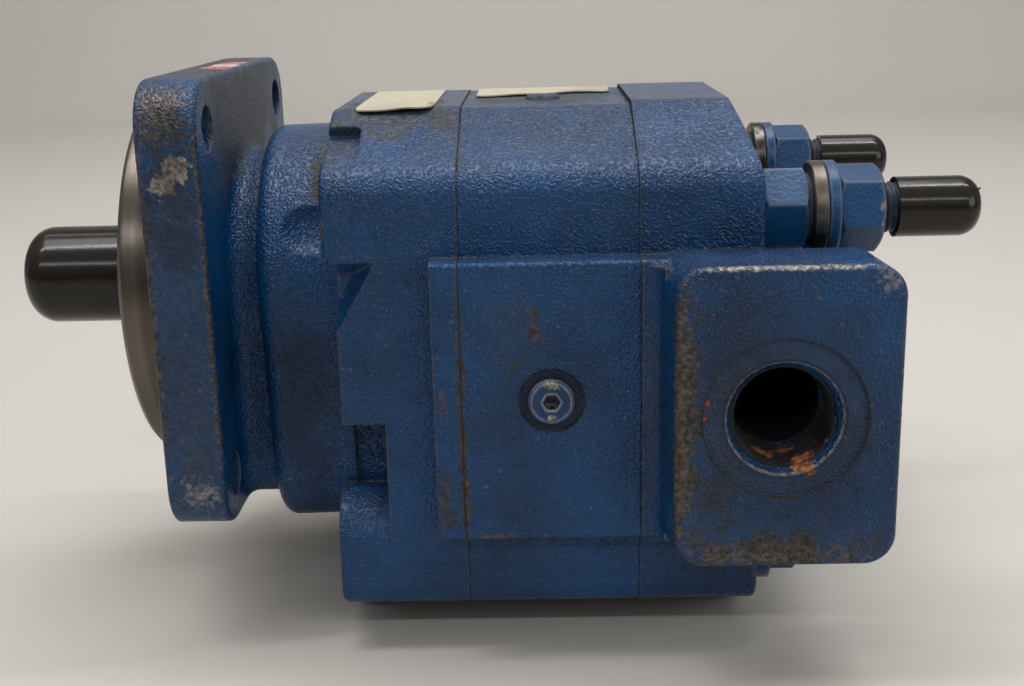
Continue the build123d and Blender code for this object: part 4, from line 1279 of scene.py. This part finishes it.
@dataclass
class PortEndCover(SubAssembly):
    """Rear casting with the two port blocks and the threads cut in the ports."""

    port_x: float = 193.2
    port_y: float = -100.0
    port_z: float = -27.0
    thread_pitch: float = 2.117
    near_crest: float = 14.4
    near_root: float = 15.66
    far_crest: float = 18.8
    far_root: float = 19.76
    mouth: float = 3.2
    foot: float = 19.6
    turn_gap: float = 0.02
    crest_share: float = 0.44
    flank_share: float = 0.96
    crest_flat: float = 0.22
    crest_margin: float = 0.1
    sides: int = 48

    def paint(self) -> CastPaint:
        """Gather the casting's finish and its marks.

        Returns:
            The finish.
        """
        port = (self.port_x, self.port_y, self.port_z)
        return CastPaint(
            "port_cover_enamel",
            seams=(152.4,),
            wear=0.4,
            worn=(0.15, 0.14, 0.125),
            marks=(
                # Painted shade darkening the whole face of both port blocks.
                Mark(StainOrShade.SHADE, (194.0, -102.0, -27.0), (31.0, 1.6, 44.0), 0.38, 0.15, 120.0, 0.4, True),
                Mark(StainOrShade.IRON, (162.6, -102.0, -28.0), (3.6, 2.5, 48.0), 0.8, 1.0, 420.0, 0.7, True),
                Mark(StainOrShade.GRIME, (164.0, -102.0, -28.0), (5.5, 3.0, 48.0), 0.9, 0.8, 200.0, 0.7, True),
                Mark(StainOrShade.IRON, (190.0, -102.0, -70.5), (36.0, 2.5, 4.6), 0.75, 1.0, 420.0, 0.8, True),
                Mark(StainOrShade.GRIME, (192.0, -102.0, -67.0), (34.0, 3.0, 9.0), 0.9, 0.8, 160.0, 0.8, True),
                Mark(StainOrShade.GRIME, (172.0, -102.0, -50.0), (10.0, 3.0, 16.0), 0.45, 0.9, 240.0, 0.9, True),
                # Worn bare metal along the port blocks' top edges, painted pale as a highlight as well.
                Mark(StainOrShade.TORN, (194.0, -101.2, 18.7), (33.0, 2.2, 1.0), 0.8, 0.9, 520.0, 0.7, True),
                Mark(StainOrShade.TORN, (223.0, -101.4, 14.5), (4.5, 2.5, 4.5), 0.45, 1.0, 700.0, 0.9, True),
                Mark(StainOrShade.IRON, (227.3, -100.0, -20.0), (1.2, 3.0, 46.0), 0.7, 0.9, 520.0, 0.7, True),
                Mark(StainOrShade.GRIME, (216.0, -102.0, -66.0), (12.0, 3.0, 8.0), 0.55, 0.9, 240.0, 0.9, True),
                # Painted shade along the spotface step round the near port.
                Ring(StainOrShade.SHADE, port, 24.6, 0.7, 0.75),
                Ring(StainOrShade.FILM, port, 21.2, 3.2, 0.25),
                # Painted shade on the seat chamfer inside the near port.
                Ring(StainOrShade.SHADE, port, 18.2, 0.5, 0.7),
                Ring(StainOrShade.TORN, port, 17.4, 0.45, 0.55),
                Mark(StainOrShade.RED, (170.0, -101.2, -21.7), (0.7, 1.6, 0.9), 0.9, 0.5, 900.0, 0.2),
                Mark(StainOrShade.RED, (169.5, -101.2, -26.4), (0.9, 1.6, 0.6), 0.9, 0.5, 900.0, 0.2),
                Mark(StainOrShade.PRIMER, (199.0, -99.0, -42.4), (4.0, 3.0, 2.2), 0.9, 0.6, 300.0, 0.4),
                Mark(StainOrShade.PRIMER, (188.0, -78.0, -41.0), (4.0, 5.0, 3.0), 0.7, 0.9, 240.0, 0.5),
                # Painted shade deep inside the near and far port bores.
                Mark(StainOrShade.SHADE, (193.2, -60.0, -27.0), (16.5, 36.5, 16.5), 0.9, 0.1, 240.0, 0.1),
                Mark(StainOrShade.SHADE, (193.2, 60.0, -27.0), (20.0, 35.0, 20.0), 0.8, 0.1, 240.0, 0.2),
                Mark(StainOrShade.GRIME, (172.0, -60.0, -111.0), (22.0, 40.0, 12.0), 0.8, 0.5, 120.0, 0.8, True),
                Mark(StainOrShade.IRON, (188.0, -66.0, -104.0), (5.0, 12.0, 6.0), 0.4, 0.9, 330.0, 0.7, True),
                Mark(StainOrShade.GRIME, (190.0, -40.0, 48.0), (4.0, 40.0, 8.0), 0.35, 0.8, 220.0, 0.8),
                Mark(StainOrShade.GRIME, (156.0, -84.0, -30.0), (3.0, 3.0, 42.0), 0.35, 0.6, 150.0, 0.9, True),
            ),
        )

    def port_thread(self, name: str, starts_at: float, crest: float, root: float) -> bpy.types.Object:
        """Model the thread inside one port as a closed helix.

        Args:
            name: the piece's name.
            starts_at: the thread's lowest Y, in metres.
            crest: radius of the thread's crest, in millimetres.
            root: radius of its root, in millimetres.

        Returns:
            The thread.
        """
        pitch = self.thread_pitch
        turns = int((self.foot - self.mouth) / pitch)
        Bench.clear()
        bpy.ops.mesh.primitive_circle_add(vertices=3, radius=1.0, fill_type="NGON")
        piece = Bench.take(name)
        corners = (
            (root, self.turn_gap),
            (crest, pitch * self.crest_share),
            (root, pitch * self.flank_share),
        )
        for vertex, (radius, along) in zip(piece.data.vertices, corners):
            vertex.co = Vector((radius * MM, along * MM, 0.0))
        Bench.pick(piece, Pick.VERTS, lambda c, n: c.x < (crest + self.crest_margin) * MM)
        bpy.ops.mesh.bevel(offset=self.crest_flat * MM, affect="VERTICES", segments=1)
        bpy.ops.mesh.select_all(action="SELECT")
        bpy.ops.mesh.delete(type="ONLY_FACE")
        Bench.leave()
        Bench.modify(
            piece,
            "SCREW",
            axis="Y",
            screw_offset=pitch * MM,
            iterations=turns,
            steps=self.sides,
            render_steps=self.sides,
            use_merge_vertices=False,
            use_smooth_shade=True,
        )
        Bench.edit_all()
        bpy.ops.mesh.remove_doubles(threshold=1e-7)
        bpy.ops.mesh.select_all(action="DESELECT")
        bpy.ops.mesh.select_mode(type="EDGE")
        bpy.ops.mesh.select_non_manifold(
            extend=False, use_wire=False, use_multi_face=False, use_verts=False
        )
        bpy.ops.mesh.edge_face_add()
        Bench.leave()
        piece.location = (self.port_x * MM, starts_at, self.port_z * MM)
        return Bench.tidy(Bench.settle(piece), smooth=28.0)

    def build(self) -> None:
        """Dress the casting and cut the port threads."""
        self.skin(["port_end_cover"], self.paint())
        low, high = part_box("port_end_cover")
        # The port threads' paint is near black as painted shade inside the bores; the primer spots are real.
        shaded_bore_paint = CastPaint(
            "thread_enamel_in_painted_shade",
            wear=0.5,
            grain_depth=0.00006,
            gloss=0.2,
            deep=(0.001, 0.003, 0.007),
            pale=(0.002, 0.006, 0.014),
            dust=0.0,
            sheen_level=0.2,
            marks=(
                Mark(StainOrShade.PRIMER, (199.0, -96.5, -41.5), (4.0, 3.0, 3.0), 0.9, 0.6, 400.0, 0.4),
                Mark(StainOrShade.PRIMER, (189.0, -90.0, -41.0), (4.0, 3.0, 3.0), 0.7, 0.9, 400.0, 0.5),
                Mark(StainOrShade.PRIMER, (196.0, -87.0, -41.0), (3.0, 2.0, 3.0), 0.6, 0.9, 400.0, 0.5),
            ),
        )
        for name, starts_at, crest, root in (
            ("near_port_thread", low.y + self.mouth * MM, self.near_crest, self.near_root),
            ("far_port_thread", high.y - self.foot * MM, self.far_crest, self.far_root),
        ):
            self.hand_over(self.port_thread(name, starts_at, crest, root), shaded_bore_paint, Body.PUMP, Slot.CASTING)


@dataclass
class StudStack(SubAssembly):
    """Clamp studs with their threads, nuts, rings, washers, lower bolts and plastic caps."""

    stud_r: float = 8.0
    thread_pitch: float = 2.0
    thread_depth: float = 1.08
    thread_from: float = 190.0
    root_flat: float = 0.12
    flank: float = 0.38
    thread_sides: int = 40
    point: float = 1.3
    point_cuts: tuple[tuple[float, float], ...] = ((1.0, 0.93), (0.6, 0.93), (0.15, 0.95))
    overlap: float = 2.5
    shank_slack: float = 0.1
    shank_bevel: float = 0.9
    sprue_foot: float = 1.5
    sprue_tip: float = 0.5
    sprue_length: float = 2.2
    sprue_off: Point = (-1.6, -2.0, 5.2)
    sprue_lean: Point = (0.3, -0.4, 0.5)
    sprue_edge: float = 0.12

    def stud(self) -> bpy.types.Object:
        """Model the near stud: plain shank, rolled thread and pointed end.

        Returns:
            The stud.
        """
        low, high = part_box("upper_studs")
        centre = Vector((0.0, low.y + self.stud_r * MM, (low.z + high.z) / 2))
        pitch = self.thread_pitch * MM
        crest = self.stud_r * MM
        root = crest - self.thread_depth * MM
        turns = int((high.x / MM - self.thread_from) / self.thread_pitch) + 2
        Bench.clear()
        bpy.ops.mesh.primitive_plane_add(size=0.001)
        piece = Bench.take("near_stud")
        Bench.edit_all()
        bpy.ops.mesh.select_mode(type="VERT")
        bpy.ops.mesh.select_all(action="SELECT")
        bpy.ops.mesh.merge(type="CENTER")
        bpy.ops.transform.translate(value=(0.0, root, 0.0))
        steps = ((self.root_flat, 0.0), (self.flank, 1.0), (self.root_flat, 0.0), (self.flank, -1.0))
        for along, across in steps:
            bpy.ops.mesh.extrude_vertices_move(
                TRANSFORM_OT_translate={"value": (along * pitch, across * (crest - root), 0.0)}
            )
        Bench.leave()
        Bench.modify(
            piece,
            "SCREW",
            axis="X",
            screw_offset=pitch,
            iterations=turns,
            steps=self.thread_sides,
            render_steps=self.thread_sides,
            use_merge_vertices=True,
            merge_threshold=1e-6,
            use_smooth_shade=True,
        )
        piece.location = (self.thread_from * MM, 0.0, 0.0)
        Bench.settle(piece)
        for plane_x, keep_ahead in (((self.thread_from + self.overlap) * MM, True), (high.x, False)):
            Bench.edit_all()
            bpy.ops.mesh.remove_doubles(threshold=1e-6)
            bpy.ops.mesh.select_all(action="SELECT")
            Bench.slice((plane_x, 0.0, 0.0), (1.0, 0.0, 0.0), keep_ahead, True)
        for depth, share in self.point_cuts:
            taper_from = high.x - self.point * depth * MM
            if Bench.pick(piece, Pick.VERTS, lambda c, n: c.x > taper_from):
                bpy.ops.transform.resize(value=(1.0, share, share), center_override=(high.x, 0.0, 0.0))
        Bench.clear()
        length = (self.thread_from + self.overlap + self.shank_slack) * MM - low.x
        bpy.ops.mesh.primitive_cylinder_add(
            vertices=48,
            radius=crest,
            depth=length,
            location=(low.x + length / 2, 0.0, 0.0),
            rotation=(0.0, math.pi / 2, 0.0),
        )
        shank = Bench.settle(Bench.take("shank"))
        Bench.pick(shank, Pick.EDGES, lambda c, n: abs(n.x) < 0.5)
        bpy.ops.mesh.bevel(offset=self.shank_bevel * MM, segments=2)
        Bench.leave()
        piece = Bench.join([piece, shank], "near_stud")
        piece.location = centre
        return Bench.tidy(Bench.settle(piece), smooth=30.0)

    def whiskers(self) -> bpy.types.Object:
        """Model the torn sprue left on the near stud cap's end.

        Returns:
            The sprue.
        """
        low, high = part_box("near_stud_cap")
        centre = (low + high) / 2
        Bench.clear()
        bpy.ops.mesh.primitive_cone_add(
            vertices=7,
            radius1=self.sprue_foot * MM,
            radius2=self.sprue_tip * MM,
            depth=self.sprue_length * MM,
            location=Vector((high.x, centre.y, centre.z)) + Vector(in_metres(self.sprue_off)),
            rotation=(0.0, math.pi / 2, 0.0),
        )
        piece = Bench.settle(Bench.take("near_cap_sprue"))
        Bench.pick(piece, Pick.FACES, lambda c, n: n.x > 0.7)
        bpy.ops.mesh.inset(thickness=self.sprue_edge * MM)
        bpy.ops.mesh.extrude_region_move(TRANSFORM_OT_translate={"value": in_metres(self.sprue_lean)})
        bpy.ops.mesh.subdivide(number_cuts=1)
        Bench.leave()
        Bench.modify(piece, "BEVEL", width=self.sprue_edge * MM, segments=1, limit_method="ANGLE")
        return Bench.tidy(piece, smooth=20.0)

    def build(self) -> None:
        """Dress the fastenings and replace the plain studs with threaded ones."""
        enamel = CastPaint(
            "nut_enamel",
            wear=0.9,
            grain_depth=0.00014,
            fine=700.0,
            gloss=0.27,
            dust=0.12,
            pale=(0.005, 0.050, 0.140),
            deep=(0.003, 0.034, 0.105),
            worn=(0.20, 0.185, 0.165),
            marks=(
                Mark(StainOrShade.TORN, (227.4, -70.0, 31.0), (1.4, 4.0, 1.7), 0.55, 0.8, 700.0, 0.3),
                Mark(StainOrShade.TORN, (227.6, -70.0, 25.0), (1.1, 4.0, 1.0), 0.55, 0.8, 700.0, 0.3),
            ),
        )
        self.skin(["clamp_nuts", "bracket_nuts", "flat_washers", "bolt_washers", "lower_bolts"], enamel)
        ring = Steel(
            "spacer_steel",
            pale=(0.13, 0.12, 0.11),
            dull=(0.018, 0.016, 0.014),
            roughness=0.33,
            rust=0.14,
            centre=(0.0, -58.0, 28.2),
            pitch=1700.0,
            depth=0.00006,
        )
        self.skin(["spacer_rings"], ring)
        painted = CastPaint(
            "stud_enamel",
            wear=1.0,
            grain_depth=0.00004,
            gloss=0.3,
            deep=(0.006, 0.016, 0.035),
            pale=(0.009, 0.03, 0.07),
            dust=0.15,
        )
        near = self.stud()
        low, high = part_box("upper_studs")
        span = high.y - low.y - 2 * self.stud_r * MM
        far = Bench.twin(near, "far_stud", Vector((0.0, span, 0.0)))
        self.hand_over(near, painted, Body.PUMP, Slot.FASTENER, ["upper_studs"])
        self.hand_over(far, painted, Body.PUMP, Slot.FASTENER, ["upper_studs"])
        plastic = Moulded("cap_plastic")
        self.skin(["shaft_cap", "near_stud_cap", "far_stud_cap"], plastic)
        self.hand_over(self.whiskers(), plastic, Body.NEAR_CAP, Slot.CAP)


@dataclass
class Labels(SubAssembly):
    """The two blank white labels, stuck on the tops of the castings."""

    thickness: float = 0.45
    below_top: float = 0.5
    clearance: float = 0.02
    corner: float = 4.0
    corner_cuts: int = 5
    droops: tuple[tuple[float, float], ...] = ((5.0, -0.25), (2.6, -0.3))
    curl: float = 0.7
    curl_near: float = 1.5
    curl_right: float = 8.0
    curl_reach: float = 10.0
    waves: tuple[float, float, float] = (-0.5, 3.0, 8.5)
    wave_lift: float = 0.3
    wave_near: float = 2.0
    wave_reach: float = 16.0

    def round_corners(self, low: Vector, high: Vector, base: float) -> None:
        """Round the near corners of the sheet being made, by short straight cuts.

        Args:
            low: the sheet's lowest corner.
            high: its highest corner.
            base: its height.
        """
        radius = self.corner * MM
        for side, edge_x in ((-1, low.x), (1, high.x)):
            centre = Vector((edge_x - side * radius, low.y + radius, base))
            for k in range(self.corner_cuts):
                tilt = math.radians(90.0 / self.corner_cuts * (k + 0.5))
                out = Vector((side * math.sin(tilt), -math.cos(tilt), 0.0))
                Bench.edit_all()
                Bench.slice(centre + out * radius, out, False, False)

    def sheet(self, name: str, node: str, overhang: bool) -> bpy.types.Object:
        """Model one label as a thin sheet with rounded corners and a lifted near edge.

        Args:
            name: the piece's name.
            node: the CAD label it stands for.
            overhang: the near edge reaches out over the sloping shoulder.

        Returns:
            The label.
        """
        low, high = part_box(node)
        base = high.z + (self.thickness / 2 + self.clearance - self.below_top) * MM
        Bench.clear()
        bpy.ops.mesh.primitive_grid_add(x_subdivisions=24, y_subdivisions=36, size=1.0)
        piece = Bench.take(name)
        piece.scale = (high.x - low.x, high.y - low.y, 1.0)
        piece.location = ((low.x + high.x) / 2, (low.y + high.y) / 2, base)
        Bench.settle(piece)
        self.round_corners(low, high, base)
        near = low.y
        if overhang:
            for reach, drop in self.droops:
                Bench.pick(piece, Pick.VERTS, lambda c, n: c.y < near + reach * MM)
                bpy.ops.transform.translate(value=(0.0, 0.0, drop * MM))
            curl_x = high.x - self.curl_right * MM
            curl_y = near + self.curl_near * MM
            Bench.pick(piece, Pick.VERTS, lambda c, n: c.y < curl_y and c.x > curl_x)
            Bench.pull((0.0, 0.0, self.curl * MM), self.curl_reach * MM)
        else:
            third = (high.x - low.x) / len(self.waves)
            wave_y = near + self.wave_near * MM
            for k, wave in enumerate(self.waves):
                start = low.x + k * third
                Bench.pick(piece, Pick.VERTS, lambda c, n: c.y < wave_y and start < c.x < start + third)
                Bench.pull((0.0, wave * MM, self.wave_lift * MM), self.wave_reach * MM)
        Bench.leave()
        Bench.modify(piece, "SOLIDIFY", thickness=self.thickness * MM, offset=0.0)
        return Bench.tidy(piece, smooth=45.0)

    def build(self) -> None:
        """Make both labels and take the place of the plain ones."""
        paper = Paper(
            "label_paper",
            marks=(
                Mark(StainOrShade.GRIME, (88.0, -30.0, 61.0), (2.5, 12.0, 3.0), 0.6, 0.8, 260.0, 0.7),
                Mark(StainOrShade.GRIME, (75.0, -39.8, 60.0), (14.0, 0.9, 3.0), 0.55, 0.7, 330.0, 0.7),
                Mark(StainOrShade.GRIME, (140.0, 9.0, 61.0), (9.0, 3.0, 3.0), 0.45, 0.9, 300.0, 0.7),
            ),
        )
        cover = self.sheet("cover_sheet_label", "cover_label", True)
        self.hand_over(cover, paper, Body.PUMP, Slot.LABEL, ["cover_label"])
        housing = self.sheet("housing_sheet_label", "housing_label", False)
        self.hand_over(housing, paper, Body.PUMP, Slot.LABEL, ["housing_label"])


@dataclass
class Studio(SubAssembly):
    """Pale floor, even light and the camera."""

    floor_half: float = 6.0
    backdrop_at: float = 2.2
    floor_x: float = 0.12
    backdrop_height: float = 4.0
    backdrop_bend: float = 0.5
    middle: Point = (0.12, 0.0, -0.02)
    room_front: Colour = (0.085, 0.082, 0.08)
    room_top: Colour = (0.42, 0.41, 0.40)
    room_back: Colour = (0.55, 0.52, 0.48)
    sensor: float = 36.0
    lens: float = 47.18742
    camera_at: Point = (122.0761, -477.3734, 99.4184)
    yaw: float = 0.0230469
    pitch: float = 0.2633567
    roll: float = -0.0253058

    def floor(self) -> None:
        """Lay the floor under the pump and sweep it up into a backdrop."""
        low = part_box("gear_housing")[0]
        Bench.clear()
        back = self.backdrop_at
        bpy.ops.mesh.primitive_grid_add(
            x_subdivisions=2,
            y_subdivisions=2,
            size=2 * self.floor_half,
            location=(self.floor_x, back - self.floor_half, low.z),
        )
        piece = Bench.settle(Bench.take("floor"))
        Bench.pick(piece, Pick.EDGES, lambda c, n: c.y > back - 0.01)
        rise = (0.0, 0.0, self.backdrop_height)
        bpy.ops.mesh.extrude_region_move(TRANSFORM_OT_translate={"value": rise})
        Bench.pick(piece, Pick.EDGES, lambda c, n: c.y > back - 0.01 and abs(c.z - low.z) < 0.001)
        bpy.ops.mesh.bevel(offset=self.backdrop_bend, segments=16)
        Bench.leave()
        Bench.tidy(piece, smooth=40.0)
        Bench.dress(piece, FloorFinish().material(self.effects))

    def lamp(self, name: str, place: Point, target: Point, size: tuple[float, float], power: float) -> None:
        """Hang one rectangular lamp.

        Args:
            name: the lamp's name.
            place: where it hangs, in metres.
            target: where it points.
            size: its two sides, in metres.
            power: its power in watts.
        """
        data = bpy.data.lights.new(name, "AREA")
        data.shape = "RECTANGLE"
        data.size, data.size_y = size
        data.energy = power
        lamp = bpy.data.objects.new(name, data)
        bpy.context.scene.collection.objects.link(lamp)
        lamp.location = place
        aim = Vector(target) - Vector(place)
        lamp.rotation_mode = "QUATERNION"
        lamp.rotation_quaternion = aim.to_track_quat("-Z", "Y")

    def world(self) -> None:
        """Light the surroundings evenly, paler overhead and behind."""
        world = bpy.data.worlds.new("soft_room")
        bpy.context.scene.world = world
        world.use_nodes = True
        world.node_tree.nodes.clear()
        w = Wiring(world.node_tree)
        way = w.put("ShaderNodeTexCoord").outputs["Generated"]
        _, y, z = w.split(way)
        lit = w.blend(w.step(z, -0.1, 0.9), self.room_front, self.room_top)
        behind = w.math("MULTIPLY", w.step(y, -0.3, 0.6), w.step(z, 0.55, 0.0))
        lit = w.blend(behind, lit, self.room_back)
        light = w.put("ShaderNodeBackground", {"Color": lit, "Strength": 1.0})
        out = w.put("ShaderNodeOutputWorld")
        w.tree.links.new(light.outputs[0], out.inputs["Surface"])

    def camera(self) -> None:
        """Set the camera."""
        across = Vector((math.cos(self.yaw), math.sin(self.yaw), 0.0))
        ahead = Vector((-math.sin(self.yaw), math.cos(self.yaw), 0.0))
        rise = Vector((0.0, 0.0, 1.0))
        look = ahead * math.cos(self.pitch) - rise * math.sin(self.pitch)
        up = rise * math.cos(self.pitch) + ahead * math.sin(self.pitch)
        right = across * math.cos(self.roll) + up * math.sin(self.roll)
        top = up * math.cos(self.roll) - across * math.sin(self.roll)
        data = bpy.data.cameras.new("camera")
        data.sensor_fit = "HORIZONTAL"
        data.sensor_width = self.sensor
        data.lens = self.lens
        data.clip_start = 0.01
        data.clip_end = 100.0
        camera = bpy.data.objects.new("camera", data)
        bpy.context.scene.collection.objects.link(camera)
        turn = Matrix((right, top, -look)).transposed().to_4x4()
        camera.matrix_world = Matrix.Translation(Vector(self.camera_at) * MM) @ turn
        bpy.context.scene.camera = camera

    def build(self) -> None:
        """Set up floor, lamps, surroundings and camera."""
        self.floor()
        middle = self.middle
        self.lamp("overhead", (0.05, 0.15, 1.5), middle, (1.5, 0.9), 18.0)
        self.lamp("ridge_strip", (0.10, -1.25, 0.90), middle, (2.4, 0.05), 6.5)
        self.lamp("backdrop_wash", (0.1, 1.0, 1.7), (0.1, 2.2, 0.5), (2.4, 0.4), 14.0)
        self.lamp("tube_left", (-0.40, -0.20, 1.1), middle, (0.05, 0.6), 3.0)
        self.lamp("tube_right", (0.60, 0.05, 1.1), middle, (0.05, 0.6), 3.0)
        self.lamp("front_fill", (0.30, -1.9, 0.9), middle, (1.2, 0.9), 1.0)
        self.lamp("side_fill", (1.5, -0.9, 0.45), middle, (0.9, 0.7), 5.0)
        self.world()
        self.camera()
        bpy.context.scene.view_settings.view_transform = "Standard"


def main() -> None:
    """Build the pump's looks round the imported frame."""
    logging.basicConfig(level=logging.INFO, format="%(name)s: %(message)s")
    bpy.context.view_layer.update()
    effects = Effects()
    for assembly in (Studio, ShaftEndCover, GearHousing, PortEndCover, StudStack, Labels):
        LOG.info("building %s", assembly.__name__)
        assembly(effects).build()
    Bench.clear()


if __name__ == "__main__":
    main()
